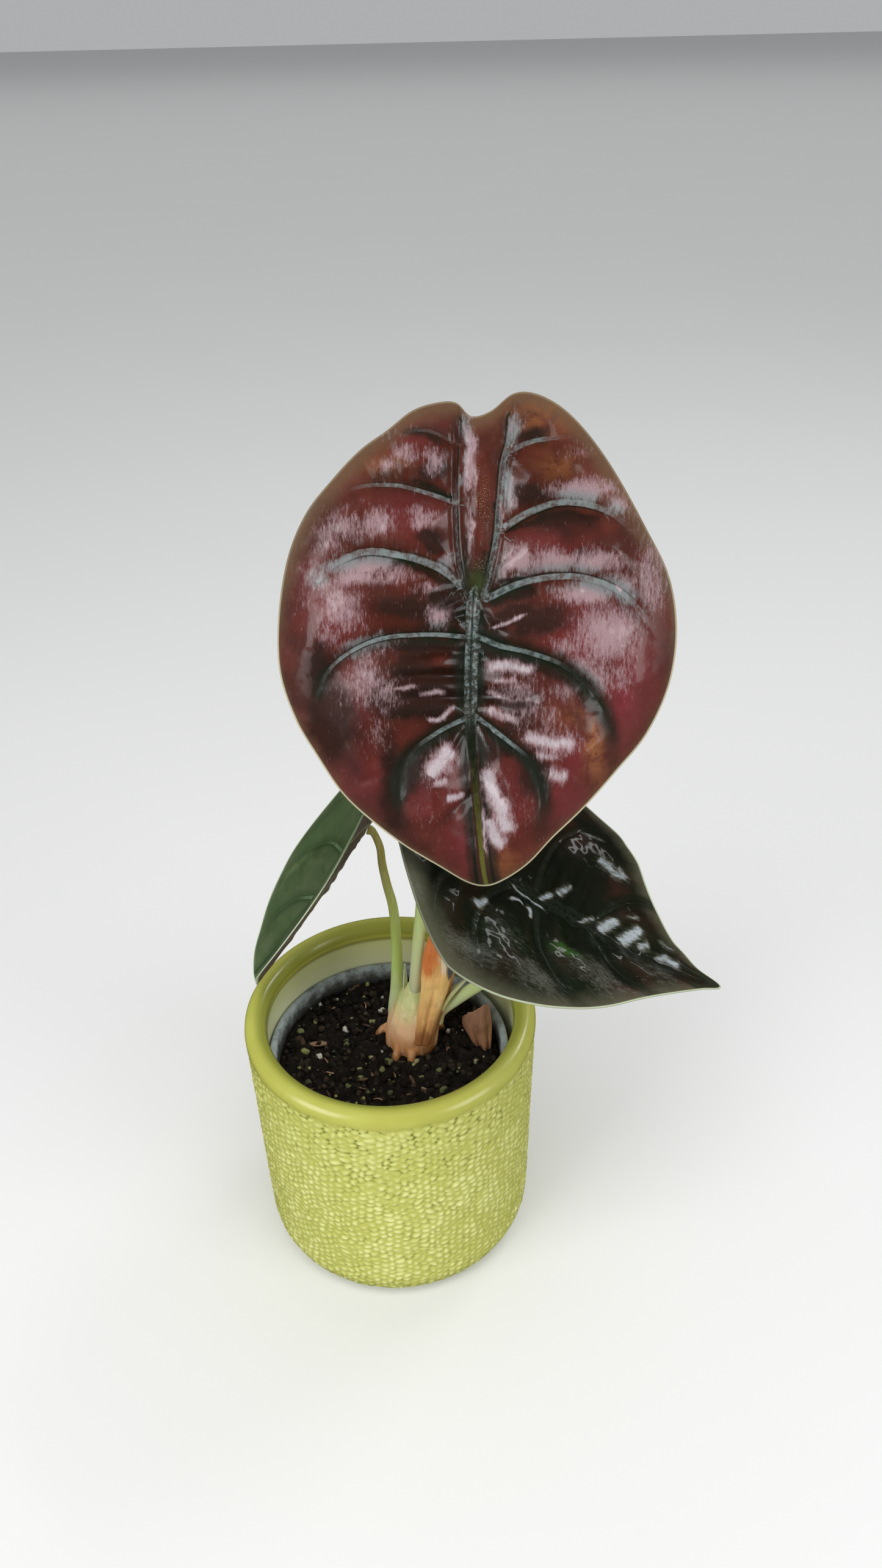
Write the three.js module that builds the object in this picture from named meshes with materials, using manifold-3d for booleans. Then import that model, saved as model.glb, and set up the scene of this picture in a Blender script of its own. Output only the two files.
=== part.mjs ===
// A potted aroid with three shield-shaped hanging leaves, in a nursery pot inside a glazed cachepot.
// Millimetres, +Z up. The origin is where the cachepot's axis meets the surface that it stands on.
// The plant is seen from the front, which is the -Y side.
import * as THREE from 'three';
import Module from 'manifold-3d';
import { mergeVertices } from 'three/addons/utils/BufferGeometryUtils.js';

const wasm = await Module();
wasm.setup();

// Driving dimensions
const clearance = 0.3;

const potWidth = 130;
const potHeight = 127;
const potTaper = 2.1;
const potCorner = 17;
const potFloor = 8;
const lipThickness = 9.8;
const wallThickness = 8;
const reliefTop = 120;
const reliefDepth = 0.55;
const potSides = 64;
const footRows = 5;
const uprightRows = 12;
const lipRows = 6;
const lipUnderside = 119.5;
const wallTop = 116.5;
const wallDraft = 1.2;
const heelRadius = 7;
const heelRows = 2;

const nurseryWidth = 109;
const nurseryBaseWidth = 84;
const nurseryRim = 103;
const nurseryWall = 1.3;
const nurseryShift = [-1.5, 1];
const nurserySides = 36;
const rimHeight = 9;
const rimStep = 1.6;
const rimRound = 0.9;
const drainHoles = 5;
const drainHoleWidth = 8;
const drainHoleSides = 10;
const drainRing = 27;

const soilLevel = 96.5;
const soilBump = 1.1;
const soilEdgeStart = 44;
const soilEdgeWidth = 8;
const soilEdgeDrop = 2;
const soilSides = 36;
const grainCount = 34;
const grainNear = 18;
const grainSpread = 27;
const grainSize = [1.4, 2.7];

const bladeThickness = 1.0;
const veinValley = 6;
const marginFlat = 14;
const stalkSides = 8;
const stalkSteps = { front: 30, right: 24, left: 20 };
const stalkApproach = 3;

const socketDepth = 22;
const stemSteps = 13;
const stemSides = 12;
const rootSteps = 5;
const rootSides = 6;
const rootRadii = [[0, 2.4], [1, 1.3]];

const sheathThickness = 0.8;
const sheathInset = 0.02;

// Small numeric helpers
const vec = (x, y, z) => new THREE.Vector3(x, y, z);
const smooth = x => {
  const t = Math.min(Math.max(x, 0), 1);
  return t * t * (3 - 2 * t);
};
const softAbs = x => Math.hypot(x, 2) - 2;
const bell = x => Math.exp(-x * x);

// Draws one number after another from a fixed seed.
function seeded(seed) {
  let state = seed;
  return () => {
    state = (state * 1664525 + 1013904223) % 4294967296;
    return state / 4294967296;
  };
}

// Value between listed stops, with the ends held.
function between(stops, x) {
  const last = stops[stops.length - 1];
  if (x <= stops[0][0]) return stops[0][1];
  if (x >= last[0]) return last[1];
  const i = stops.findIndex(stop => stop[0] > x);
  const [x0, y0] = stops[i - 1];
  const [x1, y1] = stops[i];
  return y0 + ((y1 - y0) * (x - x0)) / (x1 - x0);
}

// Solids

// Welds a geometry's seams and poles and turns its faces outwards.
function closed(geometry) {
  const bare = geometry.index ? geometry.toNonIndexed() : geometry.clone();
  bare.deleteAttribute('normal');
  bare.deleteAttribute('uv');
  const welded = mergeVertices(bare, 1e-4);
  const place = welded.attributes.position;
  const index = Array.from(welded.index.array);
  const kept = [];
  let volume = 0;
  const [a, b, c] = [vec(0, 0, 0), vec(0, 0, 0), vec(0, 0, 0)];
  for (let i = 0; i < index.length; i += 3) {
    const [p, q, r] = index.slice(i, i + 3);
    if (p === q || q === r || r === p) continue;
    kept.push(p, q, r);
    a.fromBufferAttribute(place, p);
    b.fromBufferAttribute(place, q);
    c.fromBufferAttribute(place, r);
    volume += a.dot(b.cross(c));
  }
  if (volume < 0) kept.reverse();
  welded.setIndex(kept);
  return welded;
}

function solidOf(geometry) {
  const shape = closed(geometry);
  const mesh = new wasm.Mesh({
    numProp: 3,
    vertProperties: new Float32Array(shape.attributes.position.array),
    triVerts: new Uint32Array(shape.index.array),
  });
  return new wasm.Manifold(mesh);
}

function geometryOf(solid) {
  const mesh = solid.getMesh();
  const geometry = new THREE.BufferGeometry();
  geometry.setAttribute('position', new THREE.BufferAttribute(mesh.vertProperties, 3));
  geometry.setIndex(new THREE.BufferAttribute(mesh.triVerts, 1));
  return geometry;
}

// Turned solid from a profile of [radius, height] pairs.
function turned(profile, sides) {
  const points = profile.map(([radius, height]) => new THREE.Vector2(radius, height));
  return new THREE.LatheGeometry(points, sides).rotateX(Math.PI / 2);
}

// Profile points on a round about a centre, from one angle to another in degrees.
function arc(centre, radius, from, to, steps) {
  return Array.from({ length: steps + 1 }, (_, k) => {
    const angle = THREE.MathUtils.degToRad(from + ((to - from) * k) / steps);
    return [centre[0] + radius * Math.cos(angle), centre[1] + radius * Math.sin(angle)];
  });
}

// Tapered rod along a path, whose radius follows how far along it is.
function rod(path, steps, sides, radiusAt) {
  const round = Array.from({ length: sides }, (_, k) => {
    const angle = (2 * Math.PI * k) / sides;
    return new THREE.Vector2(Math.cos(angle), Math.sin(angle));
  });
  const section = new THREE.Shape(round);
  const geometry = new THREE.ExtrudeGeometry(section, { steps, bevelEnabled: false, extrudePath: path });
  const centres = path.getSpacedPoints(steps);
  const place = geometry.attributes.position;
  const point = vec(0, 0, 0);
  for (let i = 0; i < place.count; i += 1) {
    point.fromBufferAttribute(place, i);
    const gaps = centres.map(centre => centre.distanceTo(point));
    const nearest = gaps.indexOf(Math.min(...gaps));
    const centre = centres[nearest];
    point.sub(centre).multiplyScalar(radiusAt(nearest / steps)).add(centre);
    place.setXYZ(i, point.x, point.y, point.z);
  }
  return geometry;
}

// Thin closed sheet: the same triangles on both faces, joined by a wall round the margin.
// grid gives the sheet's own flat place of a corner, and form gives that place in space.
function sheet(steps, grid, form, thickness) {
  const [across, along] = steps;
  const nudge = 0.05;
  const faces = [[], []];
  for (let j = 0; j <= along; j += 1) {
    for (let i = 0; i <= across; i += 1) {
      const [u, v] = grid(i / across, j / along);
      const middle = form(u, v);
      const alongU = form(u + nudge, v).sub(form(u - nudge, v));
      const alongV = form(u, v + nudge).sub(form(u, v - nudge));
      const normal = alongU.cross(alongV).normalize();
      faces[0].push(middle.clone().addScaledVector(normal, thickness / 2));
      faces[1].push(middle.clone().addScaledVector(normal, -thickness / 2));
    }
  }
  const row = across + 1;
  const count = row * (along + 1);
  const at = (i, j) => j * row + i;
  const triangles = [];
  const quad = (a, b, c, d, turn) => {
    if (turn) triangles.push([a, b, d], [b, c, d]);
    else triangles.push([a, b, c], [a, c, d]);
  };
  for (let j = 0; j < along; j += 1) {
    for (let i = 0; i < across; i += 1) {
      const turn = i < across / 2 === j < along / 2;
      quad(at(i, j), at(i + 1, j), at(i + 1, j + 1), at(i, j + 1), turn);
    }
  }
  const under = triangles.map(([a, b, c]) => [a + count, c + count, b + count]);
  triangles.push(...under);
  const rim = [];
  for (let i = 0; i < across; i += 1) rim.push(at(i, 0));
  for (let j = 0; j < along; j += 1) rim.push(at(across, j));
  for (let i = across; i > 0; i -= 1) rim.push(at(i, along));
  for (let j = along; j > 0; j -= 1) rim.push(at(0, j));
  rim.forEach((a, k) => {
    const b = rim[(k + 1) % rim.length];
    triangles.push([a, a + count, b], [b, a + count, b + count]);
  });
  const geometry = new THREE.BufferGeometry();
  geometry.setFromPoints([...faces[0], ...faces[1]]);
  geometry.setIndex(triangles.flat());
  return geometry;
}

// Leaves
// Each leaf has flat coordinates: u across it and v up it, from the spot where its stalk joins.
// The drip tip is at v = -reach, and the two back lobes stand above the stalk.

// Margin of the front leaf. Its right half runs from the cleft between the lobes to the tip, and its
// left half from the tip back to the cleft.
const frontMarginRight = [
  [5, 52.5], [12, 57.4], [19, 57.3], [27.5, 52.9], [36, 44.7], [44.7, 33.1], [54.3, 17.2],
  [62.5, 1.5], [65.5, -15.5], [63.5, -32.7], [56.5, -48.4], [46.5, -60.4], [35.5, -72.6],
  [25.5, -82.4], [17.6, -91.3], [9.6, -97.4], [3.3, -100.1],
];
const frontMarginLeft = [
  [-3.1, -99], [-13.4, -92.5], [-24.8, -85.2], [-37.1, -75.3], [-45.5, -66.8], [-53.2, -55],
  [-60.3, -42.9], [-65.3, -27.5], [-65.1, -10.1], [-61.3, 8], [-54.6, 22], [-45.4, 32.6],
  [-36.6, 41.1], [-27.9, 47], [-19.8, 52.9], [-11.8, 55.3], [-5.9, 55.2], [-1.2, 51.2],
];

// Margin of the right leaf, from the cleft all the way round.
const rightMargin = [
  [4, 40], [12, 45.5], [25, 42], [37, 35], [48, 26], [56, 14], [60, 2], [60, -10], [57.9, -22.2],
  [52.3, -35.9], [46.4, -42.1], [40.4, -47.4], [32.8, -52], [26.8, -56.4], [21.2, -61.2],
  [12.7, -68.9], [8.9, -74.3], [4.4, -80.5], [0, -89.7], [-5.5, -83.2], [-15, -72.6],
  [-24.2, -62.4], [-33.6, -52.5], [-42.9, -40.7], [-50.4, -28.8], [-55, -15], [-55.4, 1.2],
  [-52.4, 8.2], [-47.5, 14.8], [-40.2, 22.4], [-30.4, 29.8], [-20.2, 35.9], [-12, 40.5],
  [-4, 40],
];

// Sunken veins of the front leaf: the midrib, the two ribs of the back lobes and the side veins.
const veins = [
  [[0, 0], [-1.7, -11.6], [-2.3, -30], [-2, -46.2], [-0.8, -60.8], [1.8, -90], [3.3, -100.1]],
  [[0, 0], [-4.4, 3.2], [-5.8, 20], [-6, 35.2], [-4.8, 49.5]],
  [[0, 0], [4.7, 5.2], [7.7, 26.8], [9.7, 41.6], [10.8, 50.7]],
  [[-5.9, 42.5], [-15.1, 46.7], [-25.7, 45.5]],
  [[-6, 24.7], [-14.2, 27.5], [-24.8, 31.2], [-36.7, 29.8], [-42.2, 26.8]],
  [[-3.6, -2.3], [-12.2, 4.3], [-24, 9.1], [-34.9, 10.7], [-44.9, 6.7], [-50.6, 2]],
  [[-2.2, -15.3], [-15.7, -13.5], [-29.9, -15], [-41.1, -19.7], [-49.2, -27.3], [-54.4, -41.6]],
  [[-2.7, -41.2], [-12.8, -44.9], [-22.9, -52.5], [-27.2, -64.9], [-24.6, -77.5]],
  [[9.9, 41.1], [19, 44.2], [29.7, 44.3]],
  [[7.3, 16.5], [16.9, 21], [27.6, 24.7], [40.5, 21.3], [51, 15.1]],
  [[2.9, -5.8], [14.8, -0.1], [26.7, 2], [37.5, 0.9], [48.5, -4.6], [59, -16.9]],
  [[-1.1, -18], [16, -20.1], [28, -24.5], [38, -34.2], [43.3, -44.2], [45.2, -54.7]],
  [[-1.6, -40.2], [9.5, -47.2], [19.5, -57.2], [23, -68.5], [20.9, -81.2]],
];

// Flat points drawn wider or narrower, and turned left to right by a negative width.
const drawn = (points, width, above, below) =>
  points.map(([u, v]) => [u * width, v * (v > 0 ? above : below)]);

const leaves = {
  front: {
    stalk: vec(37.6, -42, 346.6),
    face: vec(-0.033, -0.916, 0.399),
    up: vec(0.014, 0.399, 0.917),
    reach: 100.1,
    margin: [...frontMarginRight, ...frontMarginLeft],
    veins,
    fold: 0.22, foldGrowth: 0, camber: 0.0042, twist: 0, sag: 0, arch: 9,
    pillow: 3.2, wave: 0.8, waves: 5, steps: 28,
  },
  right: {
    stalk: vec(44.9, -47, 234),
    face: vec(0.329, -0.18, 0.927),
    up: vec(-0.887, 0.279, 0.369),
    reach: 89.7,
    margin: rightMargin,
    veins: veins.map(vein => drawn(vein, -0.9, 0.78, 0.9)),
    fold: 0.22, foldGrowth: 0, camber: 0.002, twist: 0, sag: 4, arch: 0,
    pillow: 1.8, wave: 0.9, waves: 6, steps: 20,
  },
  left: {
    stalk: vec(-7, 21.3, 208.9),
    face: vec(-0.821, 0.127, 0.558),
    up: vec(0.571, 0.138, 0.809),
    reach: 92.7,
    margin: drawn([...frontMarginLeft, ...frontMarginRight].reverse(), -0.775, 0.93, 0.926),
    veins: veins.map(vein => drawn(vein, -0.775, 0.93, 0.926)),
    fold: 0.214, foldGrowth: 0.35, camber: 0, twist: -0.17, sag: 0.7, arch: 0,
    pillow: 1.6, wave: 0.5, waves: 4, steps: 18,
  },
};

// Nearest way from a flat place to a line of points.
function wayToLine(u, v, line) {
  let best = Infinity;
  for (let i = 1; i < line.length; i += 1) {
    const [u0, v0] = line[i - 1];
    const [du, dv] = [line[i][0] - u0, line[i][1] - v0];
    const share = ((u - u0) * du + (v - v0) * dv) / (du * du + dv * dv);
    const t = Math.min(Math.max(share, 0), 1);
    best = Math.min(best, Math.hypot(u - u0 - t * du, v - v0 - t * dv));
  }
  return best;
}

// How far the margin lies from the leaf's middle in each of many directions, on a smooth curve.
const marginTurns = 240;
const leafMiddle = [0, -12];
function marginReach(leaf) {
  const corners = leaf.margin.map(([u, v]) => vec(u - leafMiddle[0], v - leafMiddle[1], 0));
  const curve = new THREE.CatmullRomCurve3(corners, true, 'centripetal');
  const line = curve.getPoints(corners.length * 8);
  return Array.from({ length: marginTurns }, (_, k) => {
    const angle = (2 * Math.PI * k) / marginTurns;
    const [du, dv] = [Math.sin(angle), Math.cos(angle)];
    let reach = 0;
    for (let i = 1; i < line.length; i += 1) {
      const [p, q] = [line[i - 1], line[i]];
      const [sideP, sideQ] = [p.x * dv - p.y * du, q.x * dv - q.y * du];
      if (sideP * sideQ > 0 || sideP === sideQ) continue;
      const t = sideP / (sideP - sideQ);
      reach = Math.max(reach, (p.x + t * (q.x - p.x)) * du + (p.y + t * (q.y - p.y)) * dv);
    }
    return reach;
  });
}

function reachTowards(leaf, angle) {
  const turn = ((angle / (2 * Math.PI) + 1) % 1) * marginTurns;
  const before = Math.floor(turn) % marginTurns;
  const share = turn - Math.floor(turn);
  return leaf.reaches[before] * (1 - share) + leaf.reaches[(before + 1) % marginTurns] * share;
}

// A leaf's place in space: folded along the midrib, arched, and puckered up between its veins.
function bladeForm(leaf, u, v) {
  const [du, dv] = [u - leafMiddle[0], v - leafMiddle[1]];
  const angle = Math.atan2(du, dv);
  const reach = reachTowards(leaf, angle);
  const share = Math.hypot(du, dv) / reach;
  const veinGap = Math.min(...leaf.veins.map(vein => wayToLine(u, v, vein)));
  const inside = (1 - share) * reach;
  const pucker = leaf.pillow * (1 - bell(veinGap / veinValley)) * smooth(inside / marginFlat);
  const ripple = leaf.wave * Math.sin(leaf.waves * angle) * share ** 5;
  const along = -v / leaf.reach;
  const fold = leaf.fold + leaf.foldGrowth * along * along;
  const turn = leaf.twist * along;
  const spread = u * Math.cos(fold);
  const rise = softAbs(u) * Math.sin(fold) - leaf.camber * u * u + pucker + ripple;
  const hang = -4 * leaf.sag * along * (1 - along) - leaf.arch * along * along;
  return leaf.stalk.clone()
    .addScaledVector(leaf.across, spread * Math.cos(turn) - rise * Math.sin(turn))
    .addScaledVector(leaf.up, v)
    .addScaledVector(leaf.face, spread * Math.sin(turn) + rise * Math.cos(turn) + hang);
}

for (const leaf of Object.values(leaves)) {
  leaf.up.normalize();
  leaf.face.addScaledVector(leaf.up, -leaf.face.dot(leaf.up)).normalize();
  leaf.across = leaf.up.clone().cross(leaf.face);
  leaf.reaches = marginReach(leaf);
}

// A square grid drawn round into a disc without a crease, then out to the margin.
function leafGrid(leaf) {
  return (a, b) => {
    const [x, y] = [2 * a - 1, 2 * b - 1];
    if (x === 0 && y === 0) return leafMiddle;
    const wide = Math.abs(x) > Math.abs(y);
    const share = wide ? Math.abs(x) : Math.abs(y);
    const slant = (Math.PI / 4) * (wide ? y / x : x / y);
    const base = wide ? (x > 0 ? Math.PI / 2 : -Math.PI / 2) : y > 0 ? 0 : Math.PI;
    const angle = wide ? base - slant : base + slant;
    const reach = reachTowards(leaf, angle) * share;
    return [leafMiddle[0] + reach * Math.sin(angle), leafMiddle[1] + reach * Math.cos(angle)];
  };
}

const blade = leaf => sheet([leaf.steps, leaf.steps], leafGrid(leaf),
  (u, v) => bladeForm(leaf, u, v), bladeThickness);

// Stalks, with their hand-placed way up from the stem to the underside of each blade.
const stalkWays = {
  front: [[10, 8.6, 112], [11.2, 6.4, 128], [12.4, 5, 144], [14, 4.6, 163], [15.6, 5.2, 180],
    [18.6, 7, 222], [22, 6.4, 258], [28, -1.5, 296], [33.4, -13, 322], [37.2, -26, 338]],
  right: [[17.5, 6.6, 110], [23.7, 5, 119.6], [29, 4, 125.4], [35, 2, 132.4], [41.2, -1, 140.5],
    [46.5, -8, 154], [48.2, -20, 176], [45.4, -35, 202], [42.8, -44, 222]],
  left: [[3.6, 11.2, 96], [1.2, 12, 110], [2.8, 12.5, 127.5], [3.6, 13.5, 148], [3, 15.5, 169],
    [0.6, 17.2, 182], [-0.9, 18.6, 191.5], [-1.6, 19.9, 200]],
};
const stalkRadii = {
  front: [[0, 3.2], [0.12, 2.9], [0.3, 2.4], [0.75, 1.9], [1, 1.7]],
  right: [[0, 2.9], [0.3, 2.7], [0.7, 2.1], [1, 1.7]],
  left: [[0, 3.3], [0.25, 2.9], [0.6, 2.2], [1, 1.5]],
};

function stalk(name, extra) {
  const leaf = leaves[name];
  const below = bladeForm(leaf, 0, 0).addScaledVector(leaf.face, -bladeThickness / 2 - clearance);
  const approach = below.clone().addScaledVector(leaf.face, -stalkApproach);
  const places = [...stalkWays[name].map(place => vec(...place)), approach, below];
  const path = new THREE.CatmullRomCurve3(places, false, 'centripetal');
  return rod(path, stalkSteps[name], stalkSides, share => between(stalkRadii[name], share) + extra);
}

// Stem base with its stub roots: a plump corm that leans back to the right.
const stemWay = [[8.5, 10, soilLevel - socketDepth], [8.5, 10, 90], [8.7, 9.9, 97], [9.4, 9.4, 106],
  [10.4, 8.6, 116], [11.2, 7.8, 126], [11.8, 7.2, 133]];
const stemRadii = [[0, 8], [0.2, 10.5], [0.38, 12.6], [0.52, 13.8], [0.66, 12.2], [0.8, 8.6],
  [0.92, 6.2], [1, 4.6]];
const rootWays = [
  [[0, 12, 104], [-6.5, 13, 99], [-8.5, 13.5, 90]],
  [[4, 2, 102], [1.5, -2.5, 97.5], [1, -3.5, 89]],
  [[9.5, 0, 102], [8.5, -4.5, 97], [8.8, -5, 88]],
  [[18, 14, 103], [22.5, 17, 97], [24, 18, 88]],
];

function stemBase(extra) {
  const path = new THREE.CatmullRomCurve3(stemWay.map(place => vec(...place)), false, 'centripetal');
  const body = rod(path, stemSteps, stemSides, share => between(stemRadii, share) + extra);
  return rootWays.reduce((stem, way) => {
    const root = new THREE.CatmullRomCurve3(way.map(place => vec(...place)));
    const stub = rod(root, rootSteps, rootSides, share => between(rootRadii, share) + extra);
    return stem.add(solidOf(stub));
  }, solidOf(body));
}

// Sheaths: dried and fresh leaf bases that wrap the stalks.
// Each is a sheet between a left and a right edge, bowed towards the front.
function sheathForm(left, right, bow) {
  const leftEdge = new THREE.CatmullRomCurve3(left.map(place => vec(...place)));
  const rightEdge = new THREE.CatmullRomCurve3(right.map(place => vec(...place)));
  return (u, v) => {
    const [across, along] = [u, v].map(share => Math.min(Math.max(share, 0), 1));
    const [a, b] = [leftEdge.getPoint(along), rightEdge.getPoint(along)];
    const depth = a.distanceTo(b) * bow * 4 * across * (1 - across);
    return a.lerp(b, across).add(vec(0, -depth, 0));
  };
}

const sheaths = {
  sheath_papery: {
    left: [[14.8, -1.5, 108], [15, 0.6, 122], [15.2, 1, 134], [15.6, 1.2, 146], [17.4, 1.6, 158],
      [20.6, 2, 167]],
    right: [[17.8, -1, 109], [21, 1, 120], [25, 3, 130], [28, 4.4, 144], [27.4, 4.4, 156],
      [22.2, 2.4, 168]],
    bow: 0.22, steps: [6, 9],
  },
  sheath_green: {
    left: [[20, 2.6, 116], [23.5, 1.5, 125], [28, 1.8, 133], [35.2, 3, 140.4]],
    right: [[23, 2, 112], [27, 8.2, 127.5], [31.5, 6.4, 134], [35.6, 3.4, 139.8]],
    bow: 0.55, steps: [4, 6],
  },
  sheath_pale: {
    left: [[4.6, 8, 108], [5.4, 7.6, 122], [6.2, 8, 134], [6.9, 8.6, 144.5]],
    right: [[7.4, 11.6, 110], [7.7, 11.8, 122], [7.6, 11.2, 134], [7.2, 9, 144.5]],
    bow: 0.1, steps: [3, 6],
  },
  sheath_dry: {
    left: [[30, 12.5, 90], [31.5, 10.8, 98], [32, 10, 106], [32.5, 9, 112.5]],
    right: [[45, 1.5, 90], [45.4, 2.5, 98], [46, 6.5, 110], [45.8, 11.6, 118.5]],
    bow: 0.34, steps: [7, 6],
  },
};

const inset = share => sheathInset + (1 - 2 * sheathInset) * share;

function sheathSheet({ left, right, bow, steps }, extra) {
  return sheet(steps, (a, b) => [inset(a), inset(b)], sheathForm(left, right, bow),
    sheathThickness + 2 * extra);
}

// Cachepot: a tumbler with a rounded foot and lip, knobbled all over its outside.
// The triangles of its underside meet off the axis, so that the origin lies inside one flat face.
const undersideMiddle = [-6, 0.3];

function cachepot() {
  const outer = potWidth / 2;
  const foot = outer - potTaper;
  const lip = lipThickness / 2;
  const wall = outer - wallThickness;
  const corner = arc([foot - potCorner, potCorner], potCorner, -90, 0, footRows);
  const upright = Array.from({ length: uprightRows }, (_, k) => {
    const share = (k + 1) / uprightRows;
    return [foot + potTaper * share, potCorner + (reliefTop - potCorner) * share];
  });
  const lipRound = arc([outer - lip, potHeight - lip], lip, 0, 180, lipRows);
  const inside = [[outer - lipThickness, lipUnderside], [wall, wallTop]];
  const heelCentre = [wall - wallDraft - heelRadius, potFloor + heelRadius];
  const heel = arc(heelCentre, heelRadius, 0, -90, heelRows);
  const profile = [[0, 0], ...corner, ...upright, ...lipRound, ...inside, ...heel, [0, potFloor]];
  const geometry = turned(profile, potSides);
  const place = geometry.attributes.position;
  const firstKnob = 3;
  const lastKnob = corner.length + upright.length - 1;
  for (let i = 0; i < place.count; i += 1) {
    const row = i % profile.length;
    if (row === 0) place.setXYZ(i, ...undersideMiddle, 0);
    if (row < firstKnob || row > lastKnob) continue;
    const side = Math.floor(i / profile.length);
    const push = (side + row) % 2 === 0 ? reliefDepth : -reliefDepth;
    const [x, y] = [place.getX(i), place.getY(i)];
    const scale = 1 + (push - reliefDepth) / Math.hypot(x, y);
    place.setX(i, x * scale);
    place.setY(i, y * scale);
  }
  return closed(geometry);
}

// Nursery pot: a thin tapered pot with a rolled rim and holes in its floor.
const nurseryFloor = potFloor + clearance;
const nurseryInner = height => between([[nurseryFloor, nurseryBaseWidth / 2 - nurseryWall],
  [nurseryRim, nurseryWidth / 2 - rimStep - nurseryWall]], height);

function nurseryPot() {
  const low = nurseryFloor;
  const skirt = nurseryRim - rimHeight;
  const outerAt = height => nurseryInner(height) + nurseryWall;
  const rim = nurseryWidth / 2;
  const profile = [[0, low], [outerAt(low) - 2, low], [outerAt(low + 2), low + 2],
    [outerAt(skirt), skirt], [rim, skirt + rimRound], [rim, nurseryRim - rimRound],
    [rim - rimRound, nurseryRim], [nurseryInner(nurseryRim), nurseryRim - clearance],
    [nurseryInner(skirt), skirt], [nurseryInner(low + 4), low + 4],
    [nurseryInner(low) - 2, low + nurseryWall], [0, low + nurseryWall]];
  const pot = solidOf(turned(profile, nurserySides));
  const radius = drainHoleWidth / 2;
  return Array.from({ length: drainHoles }).reduce((body, _, k) => {
    const angle = (2 * Math.PI * k) / drainHoles;
    const hole = new THREE.CylinderGeometry(radius, radius, 4 * nurseryWall, drainHoleSides);
    hole.rotateX(Math.PI / 2);
    hole.translate(drainRing * Math.cos(angle), drainRing * Math.sin(angle), low);
    return body.subtract(solidOf(hole));
  }, pot).translate([...nurseryShift, 0]);
}

// Potting mix: it fills the nursery pot, with a lumpy top and pale grains standing out of it.
function soilHeight(x, y) {
  const lumps = Math.sin(0.31 * x + 1) * Math.cos(0.27 * y) + Math.sin(0.62 * x - 0.5 * y + 2)
    + 0.8 * Math.sin(0.95 * y + 0.4 * x);
  const edge = smooth((Math.hypot(x, y) - soilEdgeStart) / soilEdgeWidth);
  return soilLevel + (soilBump * lumps) / 2 - soilEdgeDrop * edge;
}

// Places on the mix where a grain would touch the stem or the dry sheath.
const nearStem = (x, y) => Math.hypot(x - stemWay[0][0], y - stemWay[0][1]) < 21;
const nearDrySheath = (x, y) => x > 20 && Math.abs(y - 7) < 14;

function pottingMix() {
  const low = nurseryFloor + nurseryWall + clearance;
  const wall = height => nurseryInner(height) - clearance;
  const rings = [1, 0.84, 0.68, 0.52, 0.36, 0.18];
  const profile = [[0, low], [wall(low) - 3.2, low], [wall(low + 5) - 0.4, low + 5],
    ...rings.map(ring => [ring * (wall(soilLevel - 3) - 0.2), soilLevel]), [0, soilLevel]];
  const geometry = turned(profile, soilSides);
  const place = geometry.attributes.position;
  for (let i = 0; i < place.count; i += 1) {
    if (place.getZ(i) < soilLevel) continue;
    const [x, y] = [place.getX(i), place.getY(i)];
    place.setZ(i, soilHeight(x, y));
  }
  const draw = seeded(11);
  let mix = solidOf(geometry);
  for (let k = 0; k < grainCount; k += 1) {
    const angle = 2 * Math.PI * draw();
    const away = grainNear + grainSpread * Math.sqrt(draw());
    const size = THREE.MathUtils.lerp(...grainSize, draw());
    const [x, y] = [away * Math.cos(angle) - nurseryShift[0], away * Math.sin(angle)];
    if (nearStem(x, y) || nearDrySheath(x, y)) continue;
    const grain = new THREE.OctahedronGeometry(size, 0);
    grain.rotateX(angle * 3);
    grain.rotateY(away);
    grain.translate(x, y, soilHeight(x, y) - 0.1 * size);
    mix = mix.add(solidOf(grain));
  }
  return mix.translate([...nurseryShift, 0]);
}

// Cuts: the stem stands in a plain hole in the mix, and the stalks in sockets in the stem.
const stalkNames = Object.keys(leaves);
const stalkSockets = stalkNames.map(name => solidOf(stalk(name, clearance)));
const stemWithSockets = stalkSockets.reduce((stem, socket) => stem.subtract(socket), stemBase(0));
const stemHole = stemBase(clearance);
const drySheathSlot = solidOf(sheathSheet(sheaths.sheath_dry, clearance));
const mix = pottingMix().subtract(stemHole).subtract(drySheathSlot);

function sheath(name) {
  const plain = solidOf(sheathSheet(sheaths[name], 0)).subtract(stemHole);
  if (name === 'sheath_dry') return plain;
  return stalkSockets.reduce((rest, socket) => rest.subtract(socket), plain);
}

// The pieces, each with its own finish
const finish = (color, roughness) => new THREE.MeshStandardMaterial({ color, roughness, metalness: 0 });

function piece(name, geometry, material) {
  const shape = closed(geometry);
  shape.computeVertexNormals();
  const mesh = new THREE.Mesh(shape, material);
  mesh.name = name;
  return mesh;
}

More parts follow.
